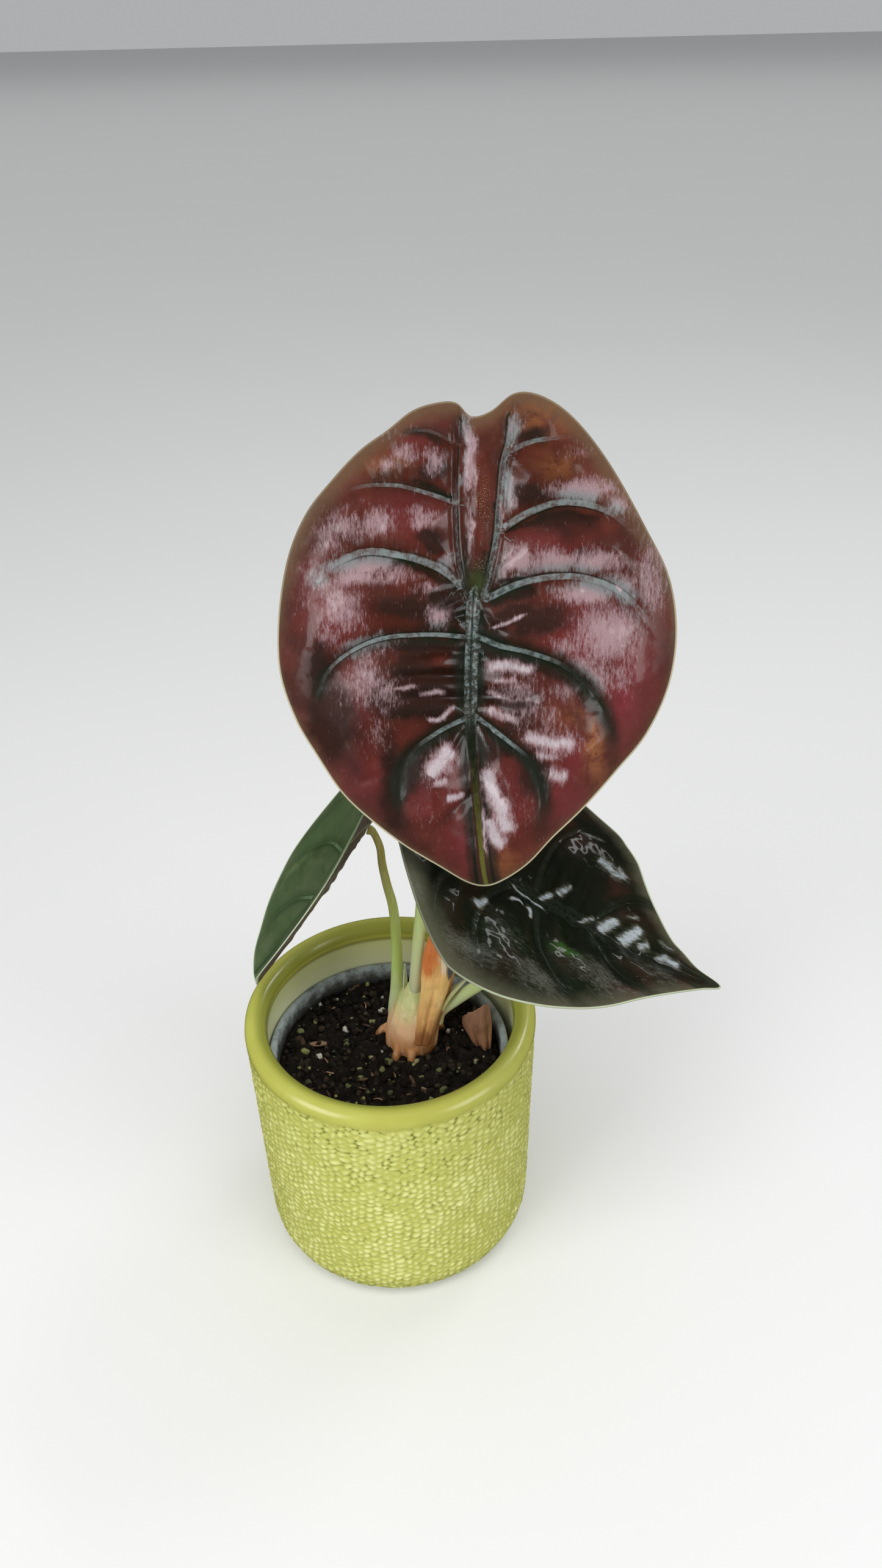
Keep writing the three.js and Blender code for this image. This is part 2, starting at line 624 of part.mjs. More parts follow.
const group = new THREE.Group();
group.add(
  piece('cachepot', cachepot(), finish('#b7bd4f', 0.3)),
  piece('nursery_pot', geometryOf(nurseryPot()), finish('#aab6b8', 0.45)),
  piece('soil', geometryOf(mix), finish('#1d1814', 0.95)),
  piece('stem_base', geometryOf(stemWithSockets), finish('#d9a684', 0.55)),
  piece('petiole_front', stalk('front', 0), finish('#a9bf86', 0.45)),
  piece('petiole_right', stalk('right', 0), finish('#a6c07a', 0.45)),
  piece('petiole_left', stalk('left', 0), finish('#93b35c', 0.45)),
  piece('blade_front', blade(leaves.front), finish('#7c3038', 0.22)),
  piece('blade_right', blade(leaves.right), finish('#272c1f', 0.18)),
  piece('blade_left', blade(leaves.left), finish('#53703f', 0.45)),
  piece('sheath_papery', geometryOf(sheath('sheath_papery')), finish('#d08a45', 0.7)),
  piece('sheath_green', geometryOf(sheath('sheath_green')), finish('#8d9a62', 0.55)),
  piece('sheath_pale', geometryOf(sheath('sheath_pale')), finish('#c5cf9f', 0.55)),
  piece('sheath_dry', geometryOf(sheath('sheath_dry')), finish('#9a6a48', 0.8)),
);

export default group;
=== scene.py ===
"""A potted aroid: three glossy shield-shaped leaves over a knobbled green cachepot."""

import math

import bpy
import numpy as np
from mathutils import Matrix, Vector


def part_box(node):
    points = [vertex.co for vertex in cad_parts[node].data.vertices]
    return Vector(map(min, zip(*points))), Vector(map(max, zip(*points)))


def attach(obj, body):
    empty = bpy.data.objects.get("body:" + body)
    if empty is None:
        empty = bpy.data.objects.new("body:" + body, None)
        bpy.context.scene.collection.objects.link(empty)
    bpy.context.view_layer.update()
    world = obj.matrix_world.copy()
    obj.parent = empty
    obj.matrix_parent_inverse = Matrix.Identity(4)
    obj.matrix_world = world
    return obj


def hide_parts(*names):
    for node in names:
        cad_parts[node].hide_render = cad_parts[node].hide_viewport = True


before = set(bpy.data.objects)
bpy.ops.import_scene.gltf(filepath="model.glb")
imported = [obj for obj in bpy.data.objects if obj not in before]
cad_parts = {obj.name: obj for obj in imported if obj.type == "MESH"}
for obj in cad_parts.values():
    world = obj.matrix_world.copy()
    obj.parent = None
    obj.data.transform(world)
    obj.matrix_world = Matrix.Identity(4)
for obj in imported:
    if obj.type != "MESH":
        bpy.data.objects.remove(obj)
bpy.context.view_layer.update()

bl_info = {
    "name": "Potted Copper Aroid",
    "version": (1, 0, 0),
    "blender": (4, 5, 0),
    "location": "View3D > Sidebar > Plant",
    "description": "Builds a potted aroid with hanging blades, and a stage to look at it on",
    "category": "Add Mesh",
}

BODY = "root"
MM = 0.001
TURN = 2 * math.pi


# Sizes in millimetres, most of them shared with the solids, and steps of the grids

POT_HEIGHT = 1000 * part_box("cachepot")[1].z
POT_RADIUS = 500 * (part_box("cachepot")[1].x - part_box("cachepot")[0].x)
POT_TAPER = 2.1
TAPER_TOP = 120
POT_CORNER = 17
POT_FLOOR = 8
LIP = 9.8
WALL = 8
RELIEF_TOP = 120.5
WARPS = 112
WEFT_PITCH = 3.4
KNOT_RISE = 0.62
KNOT_LEVEL = 1.15
PIT_DEPTH = 0.75
POT_STEPS = 600

NURSERY_RIM = 1000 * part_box("nursery_pot")[1].z
NURSERY_FLOOR = 1000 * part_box("nursery_pot")[0].z
NURSERY_RADIUS = 500 * (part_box("nursery_pot")[1].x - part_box("nursery_pot")[0].x)
NURSERY_BASE_RADIUS = 42
NURSERY_WALL = 1.3
NURSERY_STEPS = 180
NURSERY_AXIS = 500 * (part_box("nursery_pot")[0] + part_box("nursery_pot")[1])

SOIL_LEVEL = 96.5
SOIL_STEPS = 260
SOIL_REACH = 49.5
SOIL_EDGE = 50.2
BARK_COUNT = 34
STEM_PLACE = (9, 9.5)
STEM_CLEARANCE = 12.5
STEM_VOXEL = 0.55
PUCKER = 1.28
BLADE_THICKNESS = 1
SHEATH_THICKNESS = 0.56
LEAF_MIDDLE = (0, -12)

# Places on the blades are flat, in millimetres from the stalk's joint: to the right, then up.
FRONT_MARGIN_RIGHT = [
    (5, 52.5), (12, 57.4), (19, 57.3), (27.5, 52.9), (36, 44.7), (44.7, 33.1), (54.3, 17.2),
    (62.5, 1.5), (65.5, -15.5), (63.5, -32.7), (56.5, -48.4), (46.5, -60.4), (35.5, -72.6),
    (25.5, -82.4), (17.6, -91.3), (9.6, -97.4), (3.3, -100.1),
]
FRONT_MARGIN_LEFT = [
    (-3.1, -99), (-13.4, -92.5), (-24.8, -85.2), (-37.1, -75.3), (-45.5, -66.8), (-53.2, -55),
    (-60.3, -42.9), (-65.3, -27.5), (-65.1, -10.1), (-61.3, 8), (-54.6, 22), (-45.4, 32.6),
    (-36.6, 41.1), (-27.9, 47), (-19.8, 52.9), (-11.8, 55.3), (-5.9, 55.2), (-1.2, 51.2),
]
RIGHT_MARGIN = [
    (4, 40), (12, 45.5), (25, 42), (37, 35), (48, 26), (56, 14), (60, 2), (60, -10), (57.9, -22.2),
    (52.3, -35.9), (46.4, -42.1), (40.4, -47.4), (32.8, -52), (26.8, -56.4), (21.2, -61.2),
    (12.7, -68.9), (8.9, -74.3), (4.4, -80.5), (0, -89.7), (-5.5, -83.2), (-15, -72.6),
    (-24.2, -62.4), (-33.6, -52.5), (-42.9, -40.7), (-50.4, -28.8), (-55, -15), (-55.4, 1.2),
    (-52.4, 8.2), (-47.5, 14.8), (-40.2, 22.4), (-30.4, 29.8), (-20.2, 35.9), (-12, 40.5), (-4, 40),
]

# The midrib, the two ribs of the back lobes and the side veins. With each come its half width, how
# strong its pale floor is (partly painted reflection) and where along the vein it ends, the dark
# line on its upper or outer side, the one on its lower or inner side, the dark halo (partly painted
# shade) and the dark line in its middle.
RIB_COUNT = 3
RIB_SIDES = (1, 1, -1)
VEINS = [
    ([(-0.6, -3), (-1.2, -11.6), (-1.6, -24), (-1.9, -34), (-1.8, -46.2), (-0.8, -60.8),
      (1.8, -90), (3.3, -100.1)], (2.3, 1, 0.4, 0.9, 1, 0.9, 1)),
    ([(-3.6, -3), (-4.7, 3), (-5.9, 12), (-6.3, 22), (-6.3, 36), (-5.4, 49.5)],
     (0.9, 0.6, 0.6, 0.3, 1, 0.3, 0)),
    ([(2.4, -3.5), (4.6, 3.5), (6.7, 13), (8, 25), (9, 36), (10.9, 43), (11.5, 50)],
     (1.15, 0.85, 0.95, 0.15, 1, 0.3, 0)),
    ([(-5.9, 42.5), (-15.1, 46.7), (-25.7, 45.5)], (0.8, 0.15, 0.8, 0.5, 0.3, 0.3, 0)),
    ([(-6, 24.7), (-14.2, 27.5), (-24.8, 30.2), (-36.7, 29.8), (-42.2, 26.8)],
     (0.95, 0.8, 0.9, 1, 0.3, 0.3, 0)),
    ([(-4.6, -0.5), (-10, 4), (-16.5, 7), (-24, 9), (-34.9, 10.2), (-44.9, 6.7), (-50.6, 2)],
     (1.5, 0.9, 0.95, 0.5, 0.9, 0.4, 0)),
    ([(-4.2, -16.4), (-15.7, -15.6), (-29.9, -16.6), (-41.1, -21), (-49.2, -28.3), (-54.4, -41.6)],
     (1, 0.85, 0.75, 0.95, 0.95, 0.6, 0)),
    ([(-3.4, -42.4), (-12.8, -46.9), (-22.9, -54.5), (-26.2, -64.9), (-24.6, -77.5)],
     (1, 0.9, 0.32, 0.5, 0.8, 1, 0)),
    ([(10.9, 40.3), (19, 43.2), (29.7, 44)], (1.1, 0.75, 0.9, 0.3, 0.2, 0.2, 0)),
    ([(8, 16.5), (16.9, 21.6), (27.6, 24.6), (40.5, 22.3), (51, 15.1)],
     (1.4, 0.9, 0.95, 0.1, 1, 0.2, 0)),
    ([(3.4, -4.6), (14.8, 0.2), (26.7, 2), (37.5, 0.9), (48.5, -4.6), (59, -16.9)],
     (1.35, 0.9, 0.95, 0.8, 0.2, 0.3, 0)),
    ([(0.6, -16.4), (8, -19.4), (16, -21.2), (28, -25.5), (38, -34.2), (43.3, -44.2),
      (45.2, -54.7)], (1.1, 0.8, 0.4, 0.4, 1, 1, 0)),
    ([(-0.6, -41.6), (9.5, -49.2), (18.5, -57.2), (22, -68.5), (20.9, -81.2)],
     (1, 0.95, 0.36, 0.5, 0.95, 1, 0)),
]
# Deep folds between the veins, with half width and depth, and the fine pleats.
FOLDS = [
    ([(-3.5, -21.5), (-14, -21.2), (-25, -22)], 1.9, 1.1),
    ([(-3.5, -29), (-16, -28.6), (-30, -29.4)], 2, 1.5),
    ([(-3.5, -36), (-16, -35.6), (-28, -36.5)], 2, 1.5),
    ([(2.5, -23.6), (10, -24.2), (17, -26)], 2.2, 1.2),
    ([(2.5, -35.6), (12, -35.6), (24, -37.4)], 2.9, 2.1),
    ([(-4, -5), (-9, -7), (-15, -11)], 1.6, 0.9), ([(-4, -9.5), (-9, -11), (-13, -12)], 1.5, 0.9),
    ([(3, -9.5), (5, -13), (12, -15.5)], 1.6, 1.1), ([(0, -60), (8, -66), (14, -74)], 1.8, 0.5),
    ([(-2, -68), (-9, -74), (-15, -82)], 1.8, 0.7),
]
PLEATS = [
    [(-30, 12), (-30.5, 17), (-30, 21)], [(-34, 11.5), (-35, 17), (-35.5, 21)],
    [(-38, 11), (-39.5, 16.5), (-40, 20)], [(-42, 9.5), (-44, 14.5), (-46, 18)],
    [(-24, 31.5), (-25, 36), (-25.5, 40)], [(-28, 31.5), (-29.5, 36), (-31, 39)],
    [(-32, 31), (-34, 34.5), (-36, 37)], [(21, 2), (21.5, 7), (21, 9.5)],
    [(31, 3), (31, 8), (31.5, 11)], [(35, 2.5), (36, 7), (37, 10)], [(40, 1), (41.5, 5), (43, 8)],
    [(-4, -1.5), (-10, -2), (-17, -4)], [(-6, 6), (-13, 9), (-20, 15)], [(9, 5), (14, 9), (18, 15)],
    [(24, 44.5), (23, 48), (21, 51)], [(4, -45), (6, -52), (7, -60)],
    [(26, -56), (32, -60), (37, -66)], [(-30, -60), (-36, -62), (-41, -64)],
    [(25, -50), (33, -49), (40, -50)], [(-5, -48), (-8, -54), (-14, -60)],
]

# Soft spots on the front blade, some of painted light and shade: place, half sizes and strength.
ROSY = [
    (-41, -34, 9, 11, 0.45), (-47, -6, 9, 13, 0.6), (47, -38, 8, 11, 1), (38, -18, 15, 13, 0.7),
    (-22, 22, 12, 8, 0.4), (-8, -62, 9, 14, 0.35), (12, -66, 10, 13, 0.4), (-20, 44, 12, 5, 0.3),
    (-36, -62, 12, 10, 0.5), (30, -70, 8, 10, 0.6), (22, 12, 14, 6, 0.35), (-2, -84, 9, 12, 0.7),
    (31, -56, 6, 8, 0.6), (-18, -66, 5, 10, 0.6), (52, -28, 9, 12, 0.7),
]
# Painted shade: darker zones between the veins.
SHADED = [
    (-21, -34.9, 15.1, 8.8, 0.8), (12.8, -25.5, 10.5, 4.7, 0.7), (-50, -27.9, 6, 12.9, 0.55),
    (-27.9, -64.3, 4.7, 17.6, 0.8), (21.5, -62, 4, 12.9, 0.6), (-2.4, -30.2, 5.1, 15.3, 0.9),
    (0.3, -0.8, 8.1, 8.2, 0.7), (-12.8, -10.2, 9.3, 7.1, 0.5), (23.2, -10.2, 9.3, 5.9, 0.55),
    (43, -45.5, 4, 9.4, 0.5), (25.5, 16, 12.8, 3.7, 0.4), (-21, 6.2, 14, 3.2, 0.35),
    (-15.1, 14.3, 4.7, 3.7, 0.7), (17.4, 27.6, 5.1, 4.4, 0.8), (27, 18.6, 12, 3.4, 0.7),
    (12, -3.2, 8, 3, 0.7), (19, -13, 9, 3.5, 0.7), (-21, -19.5, 12, 3, 0.6), (14, -10, 10, 4, 0.8),
    (-47.5, -43, 9, 14, 0.8), (-21.5, -59, 8, 10, 0.6), (19, -61, 6, 8, 0.7),
    (-22, -25.5, 9, 5, 0.6), (18.6, 44.6, 4.7, 3.7, 0.6), (-21, -6.7, 12.8, 4.7, 0.6),
    (32.5, 6.8, 4.7, 3.9, 0.55), (2.3, -18.5, 7, 4.2, 0.9), (-14.5, 34.2, 6, 3.4, 0.75),
    (-14.6, 11.6, 4, 2.4, 0.6), (-29.1, 33.8, 5.8, 2.2, 0.4), (13.9, -43.1, 7, 7.1, 0.5),
    (4.6, -52.6, 5.8, 5.9, 0.5), (-40.7, -57.3, 7, 10.6, 0.3), (2.3, -16.1, 7, 7.1, 0.6),
    (-9.3, -4.4, 4.7, 3.5, 0.7),
]
# Painted light: the zones where the thin blade is lit through.
GLOW = [
    (38.5, -51, 3.5, 11, 0.7), (22, 51, 14, 6, 0.4), (46, 33, 7, 10, 0.3), (8, -91, 7, 6, 0.35),
    (26, 36, 7, 4, 0.3), (-30, 36, 8, 5, 0.3), (30, -41, 5, 4, 0.3),
]
# Painted sheen: silky reflections painted into the colour.
SHEEN = [
    (-2.1, 40.3, 2.3, 13, 1), (-2.1, 15.4, 1.3, 11.9, 0.7), (12.8, 47.3, 2.6, 5.4, 0.9),
    (11.1, 29.5, 2.8, 7.1, 0.9), (33.7, 28.4, 11, 3.9, 1), (44.7, 23, 4.9, 3.9, 0.8),
    (13.9, 6.6, 7.2, 4.2, 0.95), (25.5, 7, 10.5, 4, 0.9), (38.3, 6.2, 9.3, 4.1, 0.9),
    (8.1, 3.6, 2.3, 5.4, 0.8), (36, -3, 11.6, 4, 1), (47, -1.4, 6.4, 5.4, 0.9),
    (42, -16, 11.5, 11, 0.85), (30.2, -20.2, 7.6, 3.8, 0.6), (47, -29, 5, 6, 0.55),
    (-38, 3, 8, 4, 0.85), (-36, -29, 8, 9.5, 0.6), (56, 2, 6, 14, 0.6), (-47, 14, 6, 7, 0.5),
    (-15, -1.5, 6, 2, 0.6), (-35, -18.5, 10, 3, 0.75), (-29, -33, 6, 8, 0.5), (28, -33, 7, 4, 0.5),
    (40, -30, 5, 7, 0.7), (-27, 2.4, 9, 2.8, 0.6), (15, 1.2, 8, 2.2, 0.6),
    (-11, -55.5, 6.5, 7.5, 0.5), (8, -75, 6, 11, 0.5), (25, -49.5, 11, 4.6, 0.6),
    (52, 22, 5, 9, 0.3), (36, -26.7, 7, 7.1, 0.65), (-13.5, 37, 4.2, 4.6, 0.7),
    (-22.5, 39.5, 5, 2.8, 0.65), (-28, 36.8, 4.5, 2.6, 0.6), (-41.3, 17.6, 9.3, 5.6, 0.6),
    (-31.6, 19.2, 6, 5.2, 0.8), (-16, 20.5, 6, 3.6, 0.65), (-9, 6.5, 3, 4, 0.8),
    (-34.9, 6.8, 15.7, 3.5, 1), (-50, 2.5, 5.8, 3.9, 0.7), (-43.6, -6.7, 7.7, 8.5, 0.7),
    (-47.1, -14.9, 6.5, 5.2, 0.5), (-12.2, -9.6, 5.1, 5.4, 0.7), (-38.4, -21.4, 7.4, 2.8, 0.6),
    (-32.6, -45.5, 6.3, 6.4, 0.4), (23.2, -43.1, 5.1, 7.1, 0.45), (2.9, 15.4, 2.8, 6.5, 0.2),
    (-29.1, 46.7, 14, 2.8, 0.3), (32.5, 39.2, 7, 3.2, 0.35), (13.9, -36.1, 11, 8.2, 0.55),
    (-18.6, -16.1, 12.8, 0.9, 0.5), (-54.7, -4.4, 4.7, 9.4, 0.3), (55.8, 4.6, 4.7, 9.7, 0.3),
    (-44.2, -33.7, 8.1, 10.6, 0.2), (-15.1, -74.9, 7, 7.1, 0.2), (16.2, -72.5, 4.7, 10.6, 0.2),
]
# Broad soft strokes of painted highlight, then of painted shade, on the front blade: points along
# the middle, half width and strength.
GLINTS = [
    ([(-16.3, -42.9), (-10.5, -41.5), (-5.8, -38.2)], 1, 0.8),
    ([(4, -26.2), (12, -25.9), (21, -27.8)], 2.3, 0.85), ([(6, -30.5), (15, -31)], 0.9, 0.6),
    ([(3.5, -33.7), (9.3, -35.4)], 1.1, 0.7),
    ([(3.5, -40.2), (8.1, -41.5), (16.2, -42.9)], 1.8, 0.7),
    ([(5.5, -13.1), (11.6, -11.4), (18.3, -9.6)], 0.8, 0.7),
    ([(-15.5, -60.5), (-11.5, -55.8), (-6, -50.5)], 3.4, 0.95),
    ([(-10.5, -67.9), (-3.5, -67)], 1.3, 0.9), ([(-14, -63.5), (-9, -62)], 1.2, 0.7),
    ([(4.2, -59), (5.4, -66), (6, -73)], 2.6, 0.95), ([(7, -69), (9.5, -77), (11, -82)], 3.4, 0.95),
    ([(3.6, -76), (7.5, -83), (12.5, -84)], 2.4, 0.9),
    ([(2.5, -72.5), (2.8, -82.2), (4.8, -91.9)], 0.6, 0.9),
    ([(16, -47), (21, -49), (28, -49.8), (34, -49)], 2.5, 0.85),
    ([(24, -60.5), (31, -60.8)], 2.6, 0.75), ([(20, -54.5), (28, -54)], 1.6, 0.7),
    ([(-27, -32.6), (-18, -32.4)], 0.8, 0.6), ([(-18, -34.8), (-8, -34.2)], 0.9, 0.7),
    ([(33.1, -2.8), (34.8, -2.1)], 1, 0.7), ([(44.7, -0.8), (47.6, -2.6)], 1.1, 0.7),
    ([(-2.8, 48.9), (-2.4, 34.9), (-2.8, 25.1)], 0.8, 0.6), ([(12.8, 50), (10.9, 44.6)], 1, 0.5),
    ([(8.7, 25.1), (8.1, 18.7)], 1.2, 0.5),
]
# Painted shade in the deepest folds and flanks, dark green where they run by a vein.
DEEP_SHADE_STROKES = [
    ([(-5.8, -5.5), (-6.8, -16.1), (-6.5, -27.9), (-6.8, -38.4)], 2.1, 0.9),
    ([(2.8, -9.1), (2.3, -18.5), (1.4, -27.9), (1.4, -38.4)], 1.7, 0.85),
    ([(-5.8, -3.2), (-12.8, 2.3), (-21, 5.7), (-30.3, 6.6)], 1.5, 0.8),
    ([(-14.6, -3.2), (-7, -8.1), (-6.1, -14.9)], 2.6, 0.85),
    ([(-4.7, -19.3), (-16.3, -18.9), (-29.1, -20.8)], 1.7, 0.85),
    ([(-5.8, -26.9), (-17.5, -26.7), (-30.3, -27.9)], 1.6, 0.85),
    ([(-5.8, -34), (-17.5, -33.7), (-29.1, -35.2)], 1.8, 0.85),
    ([(-8.8, -40.3), (-21, -40.2), (-31.4, -40.6)], 2.2, 0.8),
    ([(-4.1, -46.7), (-14, -51.4), (-20.4, -57.3), (-23.9, -65.5), (-25, -76.1)], 3.2, 0.9),
    ([(4.6, -4.6), (12.8, -3.2), (22.1, -1.3)], 2.4, 0.9),
    ([(2.3, -16.7), (13.9, -22.2), (25.5, -26.7), (34.8, -33.7), (40.6, -42),
        (44.4, -52.6)], 3.1, 0.95),
    ([(2.3, -44.3), (9.3, -52), (16.8, -56.7), (21.5, -65.5), (23, -73.7)], 2.4, 0.85),
    ([(2.3, -23.8), (13.9, -24.6), (24.4, -28.8)], 2.2, 0.8),
    ([(1.4, -36.3), (11.6, -38), (19.7, -37.5)], 1.8, 0.8),
    ([(9.5, 14.9), (18.6, 18.9), (31.3, 20.4), (45.3, 18.2)], 1.4, 0.7),
    ([(-7, 26.4), (-15.1, 30.1), (-23.3, 32.3)], 1.3, 0.8),
    ([(3.5, 11.1), (2.3, 2.5), (1.1, -4.4)], 2.2, 0.6),
    ([(-4.1, 15.4), (-3.3, 6.8), (-2.4, -3.2)], 1.6, 0.6),
    ([(6.9, 25.1), (6, 15.4), (4, 6.8)], 1.1, 0.8),
    ([(-50, -16.1), (-51.2, -27.9), (-50, -39.6)], 4, 0.55),
    ([(-29.1, -52.6), (-27.9, -64.3), (-26.8, -74.9)], 3.5, 0.6),
    ([(-2.4, -43.1), (-1.7, -52.6), (-1.2, -60.8)], 2, 0.8),
    ([(-16.3, 17.6), (-11.7, 12.2), (-9.3, 7.9)], 1.8, 0.6),
    ([(13.9, 44.6), (20.9, 46.7), (25.5, 46.2)], 1.6, 0.5),
    ([(-23.3, 46.7), (-15.1, 44.6), (-7.6, 40.3)], 1.6, 0.6),
    ([(6.9, 0.3), (13.9, 1.2), (20.9, 1.9)], 0.8, 0.8), ([(-4.1, -16.1), (2.3, -17.5)], 1.6, 0.9),
]
STALK_SPOT = [(0.2, 0.3, 3, 3.7, 1)]
FLECKS = [
    (2.3, 25.1, 1.9, 6.5, 1), (1.6, 5.7, 1.6, 2.4, 0.9), (-1, -10.2, 0.6, 7.1, 0.7),
    (-1, -25.5, 0.6, 7.1, 0.6), (-1.8, -40.8, 1.6, 2.8, 0.8), (0.5, 34.9, 1.2, 6.5, 0.3),
]

# The right blade's own spots and strokes, on the front blade's places.
RIGHT_ROSY = [
    (-23.3, -60, 9, 18, 0.9), (23.3, -64.4, 12, 8, 0.9), (5.6, -86.7, 8, 8, 0.9),
    (-44.4, -20, 9, 14, 0.6),
]
# Painted light: a patch where the thin blade is lit through.
RIGHT_GLOW = [(22.8, -36.1, 3.6, 7, 1)]
# Painted sheen: a dull grey-olive reflection painted into the colour.
RIGHT_SHEEN = [
    (48.9, 1.3, 7, 15, 0.7), (44.4, -27.8, 8, 14, 0.65), (26.7, -51.1, 10, 15, 0.55),
    (8.9, -73.3, 7, 12, 0.5), (33.3, -11.1, 9, 16, 0.4), (40, 33.3, 10, 8, 0.5),
]
# Painted highlights.
RIGHT_GLINTS = [
    ([(25.6, 4.5), (21.1, 1.3), (18, -1.7)], 2.2, 0.9),
    ([(11, -7.9), (8.9, -11.7), (7.9, -15.3)], 0.9, 0.9),
    ([(6.8, -16.1), (11.1, -17.2), (16.1, -18.1)], 1.1, 0.9),
    ([(1, -6.6), (1.8, -13.3), (2.7, -20.3), (4.2, -25.8)], 0.8, 0.85),
    ([(-1.1, -18.8), (-4.4, -21.7), (-8, -24.7)], 1.1, 0.9),
    ([(-8, -24.7), (-12.2, -27.8), (-16.1, -30.2)], 1.8, 0.75),
    ([(-33, -34.9), (-31.7, -40), (-31, -44.3), (-32.1, -53.4)], 3.4, 0.72),
    ([(-45, -24.4), (-45.6, -31.1), (-45.2, -38.2)], 1.4, 0.55),
    ([(-0.7, -37.7), (-3.9, -41.1), (-6.9, -43.9)], 1.1, 0.8),
    ([(-2.4, -47.3), (-6.7, -50), (-11.2, -52.7)], 2.4, 0.85),
    ([(-0.7, -56.1), (-6.7, -60), (-12.6, -63.4)], 2.8, 0.9),
    ([(-2.6, -64.3), (-4.8, -66.2), (-7, -68.1)], 2.2, 0.85),
    ([(-2.2, -71.4), (-2.8, -76.7), (-1.7, -84.2)], 1.6, 0.8),
    ([(-13.6, -55.3), (-15.1, -62.7)], 1.2, 0.55), ([(-10, -70.8), (-7.2, -80.9)], 1.4, 0.55),
]
# The spots and strokes that each blade carries, by the attribute they are kept in
BLADE_PAINT = {
    "front": dict(rosy=ROSY, shaded=SHADED, glow=GLOW, sheen=SHEEN, spot=STALK_SPOT, fleck=FLECKS),
    "right": dict(rosy=RIGHT_ROSY, shaded=SHADED, glow=RIGHT_GLOW, sheen=RIGHT_SHEEN,
                  spot=STALK_SPOT, fleck=FLECKS),
    "left": dict(rosy=ROSY, shaded=SHADED, glow=GLOW, sheen=[], spot=STALK_SPOT, fleck=FLECKS),
}
BLADE_STROKES = {
    "front": dict(glint=GLINTS, deep=DEEP_SHADE_STROKES),
    "right": dict(glint=RIGHT_GLINTS, deep=[]),
    "left": dict(glint=[], deep=[]),
}

# Each blade: where its stalk joins it and which way it faces and points, in the plant's own axes;
# its length below the joint; its margin, and whether that is drawn for this blade or is the front
# blade's, fitted to it; how its width and its parts above and below the joint compare with the
# front blade's; its folding, bending and unevenness; and the grid's steps.
LEAVES = {
    "front": dict(
        stalk=(37.6, -42, 346.6), face=(-0.033, -0.916, 0.399), up=(0.014, 0.399, 0.917),
        reach=100.1, margin=FRONT_MARGIN_RIGHT + FRONT_MARGIN_LEFT, own_margin=True,
        width=1, above=1, below=1,
        fold=0.22, fold_growth=0, camber=0.0042, twist=0, sag=0, arch=9,
        pillow=3.2, crumple=1, wave=0.8, waves=5, steps=208,
    ),
    "right": dict(
        stalk=(44.9, -47, 234), face=(0.329, -0.18, 0.927), up=(-0.887, 0.279, 0.369),
        reach=89.7, margin=RIGHT_MARGIN, own_margin=True, width=-0.9, above=0.78, below=0.9,
        fold=0.22, fold_growth=0, camber=0.002, twist=0, sag=4, arch=0,
        pillow=2.3, crumple=1.5, wave=0.9, waves=6, steps=190,
    ),
    "left": dict(
        stalk=(-7, 21.3, 208.9), face=(-0.821, 0.127, 0.558), up=(0.571, 0.138, 0.809),
        reach=92.7, margin=(FRONT_MARGIN_LEFT + FRONT_MARGIN_RIGHT)[::-1], own_margin=False,
        width=-0.775, above=0.93, below=0.926,
        fold=0.214, fold_growth=0.35, camber=0, twist=-0.17, sag=0.7, arch=0,
        pillow=1.6, crumple=0.8, wave=0.5, waves=4, steps=150,
    ),
}

# Points along each stalk, and its radius at shares of its length
STALK_WAYS = {
    "front": [(10, 8.6, 112), (11.2, 6.4, 128), (12.4, 5, 144), (14, 4.6, 163), (15.6, 5.2, 180),
              (18.6, 7, 222), (22, 6.4, 258), (28, -1.5, 296), (33.4, -13, 322), (37.2, -26, 338)],
    "right": [(17.5, 6.6, 110), (23.7, 5, 119.6), (29, 4, 125.4), (35, 2, 132.4),
              (41.2, -1, 140.5), (46.5, -8, 154), (48.2, -20, 176), (45.4, -35, 202),
              (42.8, -44, 222)],
    "left": [(3.6, 11.2, 96), (1.2, 12, 110), (2.8, 12.5, 127.5), (3.6, 13.5, 148),
             (3, 15.5, 169), (0.6, 17.2, 182), (-0.9, 18.6, 191.5), (-1.6, 19.9, 200)],
}
STALK_RADII = {
    "front": [(0, 3.2), (0.12, 2.9), (0.3, 2.4), (0.75, 1.9), (1, 1.7)],
    "right": [(0, 2.9), (0.3, 2.7), (0.7, 2.1), (1, 1.7)],
    "left": [(0, 3.3), (0.25, 2.9), (0.6, 2.2), (1, 1.5)],
}

STEM_WAY = [(8.5, 10, 74.5), (8.5, 10, 90), (8.7, 9.9, 97), (9.4, 9.4, 106), (10.4, 8.6, 116),
            (11.2, 7.8, 126), (11.8, 7.2, 133)]
STEM_RADII = [(0, 8), (0.2, 10.5), (0.34, 12.4), (0.46, 12.9), (0.6, 12.2), (0.72, 10.6),
              (0.84, 8.4), (0.93, 6), (1, 3.4)]
ROOT_WAYS = [
    [(0, 12, 104), (-6.5, 13, 99), (-8.5, 13.5, 90)],
    [(4, 2, 102), (1.5, -2.5, 97.5), (1, -3.5, 89)],
    [(9.5, 0, 102), (8.5, -4.5, 97), (8.8, -5, 88)],
    [(18, 14, 103), (22.5, 17, 97), (24, 18, 88)],
]

# Marks on the papery sheath: place across and along it, half sizes and colour.
PAPERY_MARKS = [
    ((0.2, 0.8), (0.3, 0.22), (0.6, 0.17, 0.035)),
    ((0.66, 0.74), (0.11, 0.14), (0.76, 0.62, 0.42)),
    ((0.86, 0.62), (0.12, 0.09), (0.09, 0.085, 0.09)),
    ((0.95, 0.3), (0.1, 0.3), (0.26, 0.1, 0.03)),
    ((0.45, 0.05), (0.4, 0.07), (0.34, 0.13, 0.04)),
]
